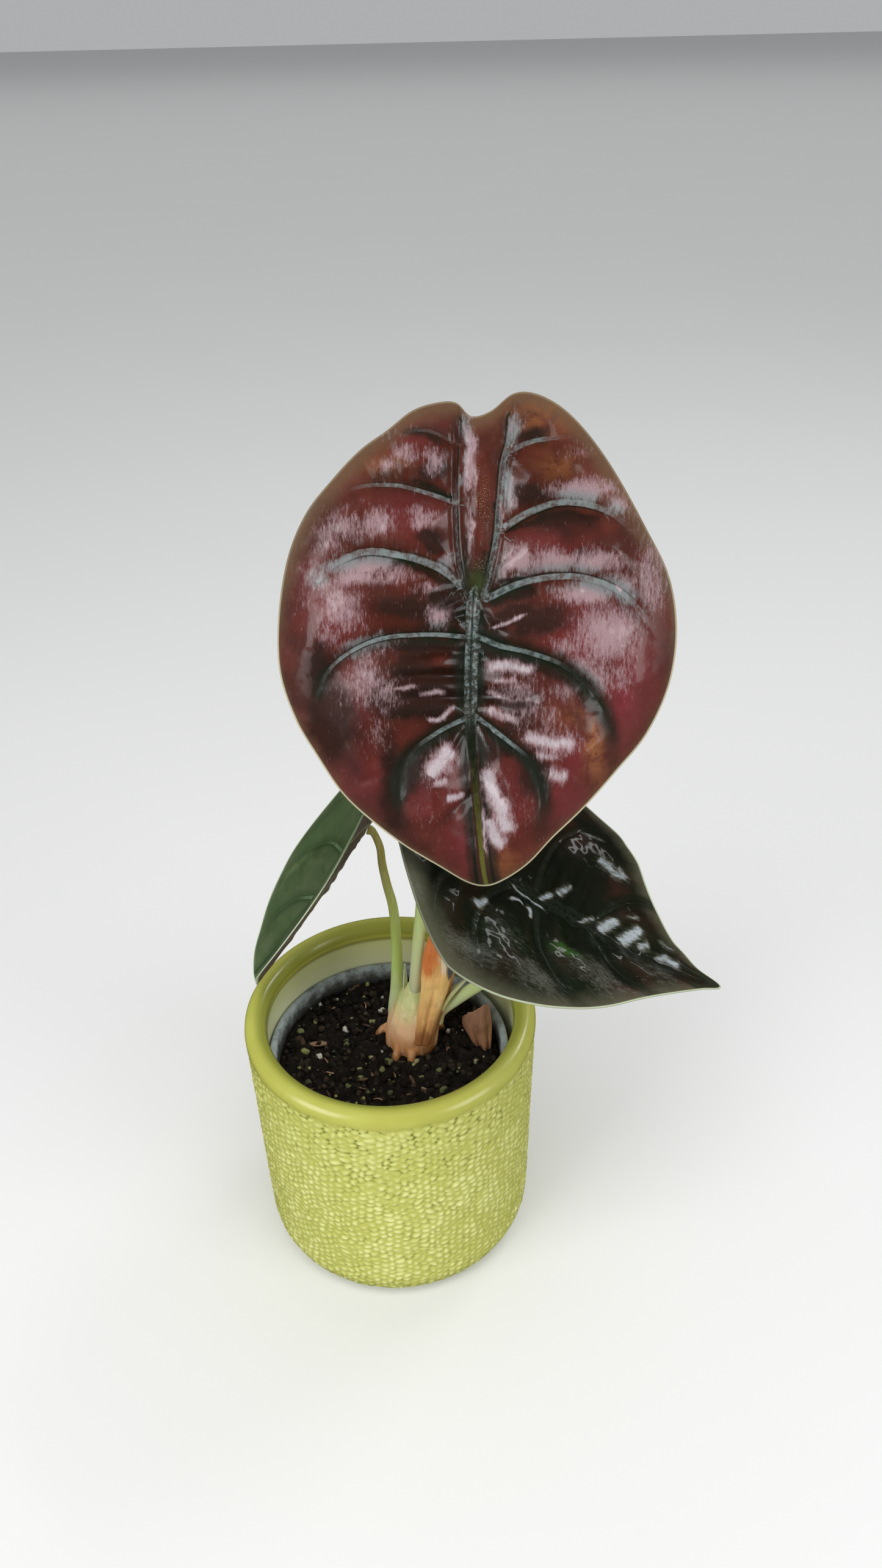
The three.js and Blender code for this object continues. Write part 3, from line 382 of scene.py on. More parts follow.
# Each sheath: its two sides, how far it bows forwards, its grid, unevenness and slot, and its
# skin's name, its colours from the bottom up, its patches' colour, roughness, bump and marks
SHEATHS = {
    "sheath_papery": dict(
        left=[(9.6, -3.2, 104), (11.6, -0.6, 120), (13.8, 0.8, 134), (14.4, 1, 146),
              (16, 1.4, 158), (18.6, 2, 167)],
        right=[(18.6, -1.6, 104), (22.8, 0.6, 119), (26.8, 3, 130), (29.4, 4.2, 144),
               (28.8, 4.2, 156), (24.6, 2.4, 168)],
        bow=0.2, steps=(70, 130), crumple=1, slot="papery_sheath",
        skin=("papery_skin", ((0.5, 0.2, 0.06), (0.84, 0.54, 0.19), (0.7, 0.27, 0.07)),
              (0.78, 0.58, 0.34), 0.62, 0.6, PAPERY_MARKS),
    ),
    "sheath_green": dict(
        left=[(20, 2.6, 116), (23.5, 1.5, 125), (28, 1.8, 133), (35.2, 3, 140.4)],
        right=[(23, 2, 112), (27, 8.2, 127.5), (31.5, 6.4, 134), (35.6, 3.4, 139.8)],
        bow=0.55, steps=(40, 60), crumple=0.12, slot="fresh_sheath",
        skin=("fresh_skin", ((0.6, 0.5, 0.25), (0.36, 0.38, 0.15), (0.42, 0.42, 0.24)),
              (0.24, 0.24, 0.1), 0.5, 0.2, ()),
    ),
    "sheath_pale": dict(
        left=[(4.6, 8, 108), (5.4, 7.6, 122), (6.2, 8, 134), (6.9, 8.6, 144.5)],
        right=[(7.4, 11.6, 110), (7.7, 11.8, 122), (7.6, 11.2, 134), (7.2, 9, 144.5)],
        bow=0.1, steps=(30, 60), crumple=0.1, slot="fresh_sheath",
        skin=("pale_skin", ((0.72, 0.52, 0.36), (0.6, 0.62, 0.38), (0.62, 0.66, 0.42)),
              (0.5, 0.55, 0.3), 0.5, 0.15, ()),
    ),
    "sheath_dry": dict(
        left=[(39.5, 6.5, 90), (36, 9, 96.5), (32.4, 10, 104), (32.5, 9.2, 113)],
        right=[(45, 1.5, 90), (45.4, 2.5, 98), (46, 6.5, 109), (44.8, 11, 117.5)],
        bow=0.3, steps=(80, 80), crumple=1.8, slot="dry_sheath",
        skin=("dry_skin", ((0.2, 0.09, 0.04), (0.38, 0.18, 0.09), (0.34, 0.17, 0.1)),
              (0.14, 0.06, 0.035), 0.72, 0.7, ()),
    ),
}

# The photograph's camera: place in millimetres, angles in degrees, focal length in image heights.
CAMERA_PLACE = (25.149, -387.281, 496.931)
CAMERA_DOWN = 33.117
CAMERA_ROLL = -1.375
CAMERA_FOCUS = 1932 / 2569


# Colours that no setting holds

# Painted shade in the pits of the pressed relief, stronger under the lip.
GLAZE_PIT_SHADE = (0.14, 0.17, 0.02)
GLAZE_LIP_PALE = (0.49, 0.5, 0.1)
# Painted shade on the lip's inner edge, where it turns down into the groove.
GLAZE_LIP_INSIDE_SHADE = (0.27, 0.29, 0.035)
# The inner wall from low to high: painted light on its lower part, painted shade in the groove.
INNER_WALL_LIGHT_AND_SHADE = [
    (0, (0.8, 0.83, 0.56)), (0.84, (0.76, 0.79, 0.36)), (0.93, (0.4, 0.41, 0.08)),
    (1, (0.46, 0.46, 0.08)),
]
MIX_STAIN = (0.03, 0.027, 0.02)
MIX_LIGHT = [(0.8, (0.035, 0.026, 0.018)), (1, (0.07, 0.05, 0.032))]
GRAIN_COLOURS = [
    (0, (0.07, 0.08, 0.04)), (0.3, (0.17, 0.19, 0.07)), (0.6, (0.36, 0.36, 0.12)),
    (0.85, (0.42, 0.38, 0.24)), (1, (0.66, 0.64, 0.56)),
]
BARK_COLOURS = [(0, (0.05, 0.03, 0.02)), (0.6, (0.14, 0.08, 0.045)), (1, (0.33, 0.2, 0.12))]
FIBRE_COLOURS = [(0, (0.3, 0.17, 0.1)), (1, (0.42, 0.24, 0.15))]
STEM_LOW = [(0, (0.34, 0.13, 0.04)), (0.12, (0.68, 0.3, 0.11))]
STEM_HIGH = [(0.7, (0.78, 0.52, 0.27)), (0.9, (0.62, 0.58, 0.27)), (1, (0.5, 0.55, 0.22))]
STEM_BLOT = (0.55, 0.23, 0.09)
STEM_STRAND = (0.86, 0.64, 0.46)
STALK_LOW = [(0, (0.66, 0.5, 0.33)), (0.09, (0.5, 0.55, 0.3))]
STALK_HIGH = [(0.75, (0.34, 0.45, 0.11)), (1, (0.27, 0.29, 0.06))]
STALK_STREAK = (0.55, 0.66, 0.34)
STALK_BLOT = (0.3, 0.33, 0.12)
FLECK_COLOUR = (0.5, 0.42, 0.22)


# Plain helpers on arrays

def smooth(x):
    t = np.clip(x, 0, 1)
    return t * t * (3 - 2 * t)


def bell(x):
    return np.exp(-x * x)


def soft_abs(x):
    return np.hypot(x, 2) - 2


def hashed(*whole):
    """A number from 0 to 1 for each place of a whole-numbered lattice."""
    mixed = np.zeros(np.broadcast(*whole).shape, np.uint64)
    for k, part in enumerate(whole):
        step = np.uint64((73856093, 19349663, 83492791, 2654435761)[k])
        mixed ^= (np.asarray(part).astype(np.int64) & 0xFFFFFFF).astype(np.uint64) * step
    mixed = (mixed ^ (mixed >> np.uint64(13))) * np.uint64(1274126177)
    mixed ^= mixed >> np.uint64(16)
    return (mixed & np.uint64(0xFFFFFF)).astype(float) / 0xFFFFFF


def lumps(points, size, seed=0):
    """Smooth noise from -1 to 1 at each point, with lumps of about that size."""
    p = np.asarray(points, float) / size
    low = np.floor(p)
    t = p - low
    t = t * t * (3 - 2 * t)
    total = np.zeros(p.shape[:-1])
    for corner in np.ndindex(*(2,) * p.shape[-1]):
        weight = np.ones(p.shape[:-1])
        for axis, side in enumerate(corner):
            weight = weight * (t[..., axis] if side else 1 - t[..., axis])
        lattice = [low[..., axis] + side for axis, side in enumerate(corner)]
        total += weight * hashed(*lattice, np.full(p.shape[:-1], seed))[...]
    return 2 * total - 1


def layered(points, *layers):
    """Lumps of several sizes on top of each other, each with its share, size and seed."""
    return sum(share * lumps(points, size, seed) for share, size, seed in layers)


def wandered(at, flat, seed):
    """Flat places shifted by noise, so that spots and strokes get uneven outlines."""
    return at + 1.5 * lumps(flat, 6, seed) + 0.7 * lumps(flat, 2.6, seed + 1)


def smooth_line(points, steps=8, closed=False):
    """Catmull-Rom curve through points of any dimension."""
    p = np.array(points, float)
    if closed:
        p = np.vstack([p[-1], p, p[0], p[1]])
    else:
        p = np.vstack([2 * p[0] - p[1], p, 2 * p[-1] - p[-2]])
    t = np.linspace(0, 1, steps, endpoint=False)[:, None]
    parts = []
    for a, b, c, d in zip(p, p[1:], p[2:], p[3:]):
        parts.append(0.5 * (2 * b + (c - a) * t + (2 * a - 5 * b + 4 * c - d) * t ** 2
                            + (3 * b - a - 3 * c + d) * t ** 3))
    line = np.vstack(parts)
    return line if closed else np.vstack([line, p[-2]])


def along_line(line, shares):
    """Places at shares of a line's length."""
    steps = np.linalg.norm(np.diff(line, axis=0), axis=1)
    way = np.concatenate([[0], np.cumsum(steps)])
    return np.stack([np.interp(np.asarray(shares) * way[-1], way, line[:, k])
                     for k in range(line.shape[1])], -1)


def way_to_line(u, v, line):
    """Distance from each flat place to a line, negative on the right of its direction, and how far
    along the line its nearest point is, from 0 to 1."""
    best = np.full(u.shape, 1e9)
    share, side = np.zeros(u.shape), np.zeros(u.shape)
    steps = np.linalg.norm(np.diff(line, axis=0), axis=1)
    way = np.concatenate([[0], np.cumsum(steps)]) / steps.sum()
    for i in range(len(steps)):
        (u0, v0), (u1, v1) = line[i], line[i + 1]
        du, dv = u1 - u0, v1 - v0
        t = np.clip(((u - u0) * du + (v - v0) * dv) / max(du * du + dv * dv, 1e-9), 0, 1)
        gap = np.hypot(u - u0 - t * du, v - v0 - t * dv)
        nearer = gap < best
        best = np.where(nearer, gap, best)
        share = np.where(nearer, way[i] + t * (way[i + 1] - way[i]), share)
        side = np.where(nearer, du * (v - v0) - dv * (u - u0), side)
    return best * np.where(side < 0, -1, 1), share


# Objects

def deselect():
    if bpy.context.object and bpy.context.object.mode != "OBJECT":
        bpy.ops.object.mode_set(mode="OBJECT")
    bpy.ops.object.select_all(action="DESELECT")


def choose(piece):
    deselect()
    piece.select_set(True)
    bpy.context.view_layer.objects.active = piece


def smoothed(piece):
    choose(piece)
    bpy.ops.object.shade_smooth()
    return piece


def places_of(piece):
    flat = np.empty(len(piece.data.vertices) * 3)
    piece.data.vertices.foreach_get("co", flat)
    return flat.reshape(-1, 3)


def set_places(piece, places):
    piece.data.vertices.foreach_set("co", np.ascontiguousarray(places, float).ravel())
    piece.data.update()


def give_attribute(piece, name, values):
    attribute = piece.data.attributes.new(name, "FLOAT", "POINT")
    attribute.data.foreach_set("value", np.ascontiguousarray(values, np.float32).ravel())


def give_flat(piece, name, across, along):
    """Stores two numbers for each vertex as a vector attribute."""
    attribute = piece.data.attributes.new(name, "FLOAT_VECTOR", "POINT")
    both = np.stack([across, along, np.zeros(len(across))], -1)
    attribute.data.foreach_set("vector", both.astype(np.float32).ravel())


def apply_modifier(piece, kind, **settings):
    choose(piece)
    modifier = piece.modifiers.new(kind.title(), kind)
    for key, value in settings.items():
        setattr(modifier, key, value)
    bpy.ops.object.modifier_apply(modifier=modifier.name)


def new_grid(name, across, along):
    """A flat grid over -1 to 1 both ways."""
    deselect()
    bpy.ops.mesh.primitive_grid_add(x_subdivisions=across, y_subdivisions=along, size=2)
    piece = bpy.context.object
    piece.name = name
    return piece


def new_mesh(name, places, faces):
    mesh = bpy.data.meshes.new(name)
    mesh.from_pydata([tuple(p) for p in places], [], faces)
    piece = bpy.data.objects.new(name, mesh)
    bpy.context.scene.collection.objects.link(piece)
    return piece


def spun(name, profile, steps):
    """A profile of (radius, height) points in millimetres, spun once round the Z axis."""
    places = [(r * MM, 0, z * MM) for r, z in profile]
    piece = new_mesh(name, places, [])
    piece.data.edges.add(len(places) - 1)
    for k, edge in enumerate(piece.data.edges):
        edge.vertices = (k, k + 1)
    piece.data.update()
    apply_modifier(piece, "SCREW", angle=TURN, steps=steps, render_steps=steps, axis="Z",
                   use_merge_vertices=True, merge_threshold=1e-6)
    bpy.ops.object.mode_set(mode="EDIT")
    bpy.ops.mesh.select_all(action="SELECT")
    bpy.ops.mesh.remove_doubles(threshold=1e-6)
    bpy.ops.mesh.normals_make_consistent(inside=False)
    bpy.ops.object.mode_set(mode="OBJECT")
    return smoothed(piece)


def tube(name, places, radii, sides=8):
    """A round rod along places in millimetres, with a radius for each of them."""
    curve = bpy.data.curves.new(name, "CURVE")
    curve.dimensions = "3D"
    curve.bevel_depth = MM
    curve.bevel_resolution = sides
    curve.use_fill_caps = True
    spline = curve.splines.new("POLY")
    spline.points.add(len(places) - 1)
    for point, place, radius in zip(spline.points, places, radii):
        point.co = (*[c * MM for c in place], 1)
        point.radius = radius
    piece = bpy.data.objects.new(name, curve)
    bpy.context.scene.collection.objects.link(piece)
    choose(piece)
    bpy.ops.object.convert(target="MESH")
    return smoothed(bpy.context.object)


def joined(pieces, name):
    deselect()
    for piece in pieces:
        piece.select_set(True)
    bpy.context.view_layer.objects.active = pieces[0]
    bpy.ops.object.join()
    pieces[0].name = name
    return pieces[0]


def settle(piece, material, node=None):
    """Gives a finished piece its material, and puts it on the object's body in place of its
    solid."""
    if material:
        piece.data.materials.append(material)
    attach(piece, BODY)
    if node:
        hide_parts(node)


# Shaders

class Wire:
    """A socket, so that maths on it can be written as an expression."""

    def __init__(self, shader, socket):
        self.shader = shader
        self.socket = socket

    def maths(self, operation, a, b):
        return self.shader.node("ShaderNodeMath", {"operation": operation}, {0: a, 1: b})

    def __add__(self, other):
        return self.maths("ADD", self, other)

    __radd__ = __add__

    def __sub__(self, other):
        return self.maths("SUBTRACT", self, other)

    def __rsub__(self, other):
        return self.maths("SUBTRACT", other, self)

    def __mul__(self, other):
        return self.maths("MULTIPLY", self, other)

    __rmul__ = __mul__


class Shader:
    """One material's node tree, with a single call for every kind of node."""

    def __init__(self, name):
        self.material = bpy.data.materials.new(name)
        self.material.use_nodes = True
        self.tree = self.material.node_tree
        self.surface = self.tree.nodes["Principled BSDF"]

    def node(self, kind, settings=None, inputs=None, output=0):
        made = self.tree.nodes.new(kind)
        for key, value in (settings or {}).items():
            if key == "stops":
                self.set_stops(made.color_ramp, value)
            else:
                setattr(made, key, value)
        for key, value in (inputs or {}).items():
            self.feed(made.inputs[key], value)
        return Wire(self, made.outputs[output])

    @staticmethod
    def set_stops(ramp, stops):
        while len(ramp.elements) < len(stops):
            ramp.elements.new(0.5)
        for element, (place, value) in zip(ramp.elements, stops):
            element.position = place
            element.color = (*value, 1) if hasattr(value, "__len__") else (value,) * 3 + (1,)

    def feed(self, socket, value):
        if isinstance(value, Wire):
            self.tree.links.new(value.socket, socket)
        elif hasattr(value, "__len__") and len(value) == 3 and socket.type == "RGBA":
            socket.default_value = (*value, 1)
        else:
            socket.default_value = value

    def set(self, **inputs):
        for key, value in inputs.items():
            self.feed(self.surface.inputs[key.replace("_", " ")], value)
        return self.material

    def object_place(self):
        return self.node("ShaderNodeTexCoord", output="Object")

    def attribute(self, name, output="Fac"):
        return self.node("ShaderNodeAttribute", {"attribute_name": name}, output=output)

    def noise(self, place, scale, detail=3, roughness=0.5, distortion=0):
        return self.node("ShaderNodeTexNoise", {}, {
            "Vector": place, "Scale": scale, "Detail": detail, "Roughness": roughness,
            "Distortion": distortion})

    def strands(self, place, scale, detail, roughness):
        """Noise with its own scale along each axis."""
        return self.noise(self.stretched(place, scale), 1, detail, roughness)

    def ramp(self, share, stops):
        return self.node("ShaderNodeValToRGB", {"stops": stops}, {"Fac": share})

    def step(self, value, low, high):
        """0 below low, 1 above high and smooth between them; low may be the higher one."""
        return self.node("ShaderNodeMapRange", {"interpolation_type": "SMOOTHSTEP"},
                         {"Value": value, "From Min": low, "From Max": high})

    def blend(self, share, a, b):
        return self.node("ShaderNodeMix", {"data_type": "RGBA"}, {0: share, 6: a, 7: b}, 2)

    def gate(self, name, low, high):
        return self.step(self.attribute(name), low, high)

    def axis(self, place, index):
        return self.node("ShaderNodeSeparateXYZ", {}, {0: place}, index)

    def stretched(self, place, scale):
        return self.node("ShaderNodeMapping", {}, {"Vector": place, "Scale": scale})

    def bump(self, height, distance, strength):
        return self.node("ShaderNodeBump", {}, {
            "Height": height, "Distance": distance, "Strength": strength})

    def length(self, vector):
        return self.node("ShaderNodeVectorMath", {"operation": "LENGTH"}, {0: vector}, "Value")


# Leaves

def fitted(leaf, points):
    """Places on the front blade, moved to where they belong on this one."""
    width, above, below = leaf["width"], leaf["above"], leaf["below"]
    return [(u * width, v * (above if v > 0 else below)) for u, v in points]


def scaled_lines(leaf, lines):
    return [smooth_line(fitted(leaf, line), 5) for line in lines]


def leaf_reaches(leaf, count=1440):
    """How far the margin lies from the leaf's middle in each of many directions."""
    margin = leaf["margin"] if leaf["own_margin"] else fitted(leaf, leaf["margin"])
    line = smooth_line(margin, 10, closed=True) - np.array(LEAF_MIDDLE)
    line = np.vstack([line, line[:1]])
    angles = np.linspace(0, TURN, count, endpoint=False)
    sine, cosine = np.sin(angles)[:, None], np.cos(angles)[:, None]
    p, q = line[:-1], line[1:]
    side_p = p[:, 0] * cosine - p[:, 1] * sine
    side_q = q[:, 0] * cosine - q[:, 1] * sine
    crossed = (side_p * side_q <= 0) & (side_p != side_q)
    t = np.where(crossed, side_p / np.where(crossed, side_p - side_q, 1), 0)
    reach = ((p[:, 0] + t * (q[:, 0] - p[:, 0])) * sine
             + (p[:, 1] + t * (q[:, 1] - p[:, 1])) * cosine)
    return np.where(crossed, reach, 0).max(1)


def reach_towards(reaches, angle):
    turns = np.arange(len(reaches) + 1) * TURN / len(reaches)
    return np.interp(np.mod(angle, TURN), turns, np.append(reaches, reaches[0]))


def flat_places(reaches, x, y):
    """A square grid drawn round into a disc, then out to the margin."""
    wide = np.abs(x) > np.abs(y)
    share = np.where(wide, np.abs(x), np.abs(y))
    above = np.where(wide, y, x)
    below = np.where(wide, x, y)
    slant = math.pi / 4 * above / np.where(below == 0, 1, below)
    base = np.where(wide, np.where(x > 0, math.pi / 2, -math.pi / 2), np.where(y > 0, 0, math.pi))
    angle = np.where(wide, base - slant, base + slant)
    reach = reach_towards(reaches, angle) * share
    return LEAF_MIDDLE[0] + reach * np.sin(angle), LEAF_MIDDLE[1] + reach * np.cos(angle)


def leaf_axes(leaf):
    up = Vector(leaf["up"]).normalized()
    face = Vector(leaf["face"])
    face = (face - up * face.dot(up)).normalized()
    return np.array(up.cross(face)), np.array(up), np.array(face)


def crease(u, v, lines, width):
    """1 in the middle of each line, fading beside it and towards its far end."""
    depth = np.zeros(u.shape)
    for line in lines:
        gap, share = way_to_line(u, v, line)
        depth = np.maximum(depth, bell(gap / width) * smooth(2.2 * (1 - share)))
    return depth


def vein_fields(leaf, u, v):
    """What each flat place has to do with its nearest vein: the valley's shape, the place across it
    in half widths, and how strong the floor, the two edge lines, the halo and the core are."""
    kinds = ("floor", "upper", "lower", "halo", "core")
    fields = {key: np.zeros(u.shape) for key in ("valley", "across", *kinds)}
    nearest, rib = np.full(u.shape, 1e9), np.full(u.shape, 1e9)
    for k, (points, finish) in enumerate(VEINS):
        width, floor, floor_end, upper, lower, halo, core = finish
        (line,) = scaled_lines(leaf, [points])
        gap, share = way_to_line(u, v, line)
        turn = np.sign(line[-1][0] - line[0][0]) if k >= RIB_COUNT else RIB_SIDES[k]
        away = np.abs(gap)
        end = 1 if k < RIB_COUNT else smooth(2.2 * (1 - share))
        wall = np.maximum(away - 0.8 * width, 0)
        valley = (0.66 * bell(wall / 8) + 0.34 * np.exp(-wall / 1.4)) * (0.4 + 0.6 * end)
        fields["valley"] = np.maximum(fields["valley"], valley)
        floor_here = floor * smooth((floor_end - share) / 0.22 + 0.5)
        nearer = away < nearest
        nearest = np.where(nearer, away, nearest)
        taper = width * (1 - (0 if k < RIB_COUNT else 0.35) * share)
        for key, value in zip(("across", *kinds), (
                turn * gap / taper, floor_here * end, upper * end, lower * end,
                halo * (0.35 + 0.65 * end), core * smooth((floor_end - share) / 0.1 + 0.5))):
            fields[key] = np.where(nearer, value, fields[key])
        if k < RIB_COUNT:
            rib = np.minimum(rib, away)
    fields["gap"] = nearest
    fields["rib"] = rib
    folds = scaled_lines(leaf, [line for line, _, _ in FOLDS])
    fields["fold"] = sum(depth * crease(u, v, [line], width)
                         for line, (_, width, depth) in zip(folds, FOLDS))
    fields["pleat"] = crease(u, v, scaled_lines(leaf, PLEATS), 1.25)
    return fields


def zone(leaf, u, v, spots):
    """How strongly soft-edged spots colour each flat place."""
    width, above, below = leaf["width"], leaf["above"], leaf["below"]
    total = np.zeros(u.shape)
    for at_u, at_v, half_u, half_v, strength in spots:
        away_v = (v / np.where(v > 0, above, below) - at_v) / half_v
        spot = strength * bell(np.hypot((u / width - at_u) / half_u, away_v))
        total = np.maximum(total, spot)
    return total


def stroked(leaf, u, v, strokes):
    """How strongly broad soft-edged strokes colour each flat place."""
    total = np.zeros(u.shape)
    for points, half_width, strength in strokes:
        (line,) = scaled_lines(leaf, [points])
        gap, share = way_to_line(u, v, line)
        taper = smooth(8 * share + 0.4) * smooth(3.5 * (1 - share))
        total = np.maximum(total, strength * taper * np.exp(-np.abs(gap / half_width) ** 2.2))
    return total


def blade_places(leaf, reaches, u, v, fields):
    """The blade in space: folded along its midrib, arched, and puckered up between its veins."""
    du, dv = u - LEAF_MIDDLE[0], v - LEAF_MIDDLE[1]
    angle = np.arctan2(du, dv)
    reach = reach_towards(reaches, angle)
    share = np.hypot(du, dv) / reach
    inside = (1 - share) * reach
    pillow = leaf["pillow"]
    edge = smooth(inside / 7)
    pucker = PUCKER * pillow * (1 - fields["valley"]) * smooth(inside / 14)
    flat = np.stack([u, v], -1)
    twin_ridge = bell((fields["rib"] - 1.35) / 0.7) * smooth((v + 52) / 14) * edge
    crumple = leaf["crumple"] * layered(flat, (0.09, 10, 3), (0.055, 4.4, 5), (0.025, 2.1, 6))
    detail = pillow * (crumple * edge - 0.36 * fields["fold"] * edge - 0.2 * fields["pleat"] * edge
                       + 0.24 * twin_ridge)
    ripple = leaf["wave"] * np.sin(leaf["waves"] * angle) * share ** 5
    along = -v / leaf["reach"]
    fold = leaf["fold"] + leaf["fold_growth"] * along * along
    turn = leaf["twist"] * along
    spread = u * np.cos(fold)
    rise = soft_abs(u) * np.sin(fold) - leaf["camber"] * u * u + pucker + detail + ripple
    hang = -4 * leaf["sag"] * along * (1 - along) - leaf["arch"] * along * along
    across, up, face = leaf_axes(leaf)
    sideways = spread * np.cos(turn) - rise * np.sin(turn)
    outwards = spread * np.sin(turn) + rise * np.cos(turn) + hang
    return (np.array(leaf["stalk"]) + sideways[:, None] * across + v[:, None] * up
            + outwards[:, None] * face), inside


def build_blade(name, materials):
    leaf = LEAVES[name]
    piece = new_grid(f"leaf_{name}", leaf["steps"], leaf["steps"])
    square = places_of(piece)
    reaches = leaf_reaches(leaf)
    u, v = flat_places(reaches, square[:, 0], square[:, 1])
    fields = vein_fields(leaf, u, v)
    places, inside = blade_places(leaf, reaches, u, v, fields)
    set_places(piece, places * MM)
    for key in ("across", "gap", "floor", "upper", "lower", "halo", "core", "rib", "fold"):
        give_attribute(piece, key, fields[key])
    give_attribute(piece, "inside", inside)
    flat = np.stack([u, v], -1)
    far_u, far_v = wandered(u, flat, 61), wandered(v, flat, 63)
    for key, spots in BLADE_PAINT[name].items():
        give_attribute(piece, key, zone(leaf, far_u, far_v, spots))
    near_u, near_v = 0.6 * far_u + 0.4 * u, 0.6 * far_v + 0.4 * v
    for key, strokes in BLADE_STROKES[name].items():
        give_attribute(piece, key, stroked(leaf, near_u, near_v, strokes))
    give_flat(piece, "flat", u / 10, v / 10)
    thinning = piece.vertex_groups.new(name="thinning")
    for index, weight in enumerate(smooth(inside / 4)):
        thinning.add([index], float(weight), "REPLACE")
    for material in materials:
        piece.data.materials.append(material)
    apply_modifier(piece, "SOLIDIFY", thickness=BLADE_THICKNESS * MM, offset=0,
                   vertex_group="thinning", thickness_vertex_group=0.45,
                   material_offset=1, material_offset_rim=2)
    piece.vertex_groups.clear()
    return smoothed(piece)


def underside_first(leaf, piece):
    """True where the grid's own faces look down, so that the two faces' finishes swap."""
    face = Vector(leaf_axes(leaf)[2])
    total = sum((p.normal.dot(face) for p in piece.data.polygons if p.material_index == 0), 0)
    return total < 0


class UpperFace(Shader):
    """A blade's glossy upper face, one layer of colour over another."""

    def __init__(self, name, look):
        super().__init__(name)
        self.look = look
        self.flat = self.attribute("flat", "Vector")
        self.inside = self.attribute("inside")
        self.up = self.axis(self.flat, 1)
        self.drifts = self.noise(self.flat, 0.5, 3, 0.6)
        self.patches = self.noise(self.flat, 1.7, 4, 0.65, 0.5)
        self.streaks = self.strands(self.flat, (9, 2.6, 1), 4, 0.65)

    def panels(self):
        """The skin between the veins, with its rosy zones, painted light in its lit zones, painted
        shade in its shaded zones and folds, and a fine speckle.
        """
        look, patches = self.look, self.patches
        colour = self.blend(self.step(self.drifts, 0.4, 0.62), look.body, look.body_second)
        colour = self.blend(self.attribute("rosy") * (patches + 0.45), colour, look.body_third)
        # Painted light in the lit zones.
        glow = self.attribute("glow") * self.step(patches, 0.3, 0.6)
        colour = self.blend(glow, colour, look.glow)
        # Painted shade in the shaded zones and along the folds.
        shade = self.attribute("shaded") * (patches + 0.6) + self.attribute("fold") * 0.45
        shade = self.step(shade, 0.06, 0.62) * look.shade_share
        colour = self.blend(shade, colour, look.shade)
        self.speckle = self.noise(self.flat, 30, 2, 0.6)
        return self.blend(self.step(self.speckle, 0.5, 0.85) * 0.2, colour, look.body_second)

    def band(self, colour):
        """The band along the margin, which is wider round the back lobes."""
        look = self.look
        self.pale = self.step(self.up, 1.5, -2.5)
        away = self.inside + (self.patches - 0.5) * 5 + self.pale * 3.5
        band = self.step(away, look.band_width + 3.5, 0.4)
        return self.blend(band * look.band_share, colour,
                          self.blend(self.pale, look.band_above, look.band))

    def painted_sheen(self, colour):
        """Painted sheen: the silky zones' reflections painted into the colour, cooler beside the
        veins, with a painted sparkle.
        """
        look, flat = self.look, self.flat
        self.threads = self.strands(flat, (26, 6, 1), 3, 0.6)
        strength = (self.attribute("sheen") + (self.streaks - 0.5) * 1.2
                    + (self.threads - 0.5) * 0.9)
        painted_sheen = self.step(strength, 0.18, 0.86)
        cool = self.gate("gap", 5.5, 1.5)
        tone = self.blend(cool * 0.9, look.sheen, look.sheen_cool)
        tone = self.blend(self.step(self.speckle, 0.5, 0.72) * 0.5, tone, look.glint)
        return self.blend(painted_sheen * look.sheen_share, colour, tone)

    def painted_deep_shade(self, colour):
        """Painted shade in the deepest folds and flanks, dark green where they lie by a vein."""
        look = self.look
        strength = (self.attribute("deep") + (self.streaks - 0.5) * 0.5
                    + (self.patches - 0.5) * 0.5)
        deep = self.step(strength, 0.12, 0.8)
        tone = self.blend(self.gate("gap", 1.5, 3.5), look.vein, look.shade)
        return self.blend(deep * look.deep_share, colour, tone)

    def veins(self, colour):
        """A dark halo, the veins' own dark green spread into painted shade beside them, a pale
        floor that breaks up along the midrib and is partly a painted reflection, and the thin dark
        lines at its two sides and in its middle. Widths are in the vein's half widths."""
        look, flat = self.look, self.flat
        across = self.attribute("across")
        away = self.node("ShaderNodeMath", {"operation": "ABSOLUTE"}, {0: across})
        near = self.gate("gap", 6.5, 4.5)
        halo = (self.attribute("halo") * near
                * self.step(away + (self.patches - 0.5) * 3, 5.4, 1.3))
        colour = self.blend(halo * look.halo_share, colour, look.vein)
        blotches = self.step(self.noise(flat, 7, 2, 0.6), 0.44, 0.54)
        on_rib = self.gate("rib", 4, 3)
        # The pale floor is partly painted reflection, broken up in blotches along the ribs.
        floor_sheen_breakup = ((self.step(self.noise(flat, 4.2, 3, 0.6), 0.38, 0.6) * 0.7 + 0.3)
               * (on_rib * (blotches - 1) * 0.8 + 1))
        floor = self.attribute("floor") * near * self.step(away, 1.15, 0.7) * floor_sheen_breakup
        colour = self.blend(floor * look.floor_share, colour, look.vein_floor)
        sides = (self.attribute(key) * self.step(away, 0.9, 1.15)
                 * self.step(across, 1.75 * way, 1.3 * way) * self.step(across, 0, 0.1 * way)
                 for key, way in (("upper", 1), ("lower", -1)))
        line = near * (next(sides) + next(sides) + self.attribute("core")
                       * self.step(away, 0.4, 0.16))
        return self.blend(line * look.line_share, colour, look.vein_line)

    def low_midrib(self, colour):
        """The midrib's olive lower part."""
        look, up = self.look, self.up
        low = self.step(up, -3.9, -4.5) * self.step(self.attribute("rib") - up * 0.11, 2.1, 1.5)
        tone = self.blend(self.step(up + (self.streaks - 0.5) * 5, -5.2, -9.4),
                          look.vein, look.rib)
        return self.blend(low * look.rib_share, colour, tone)

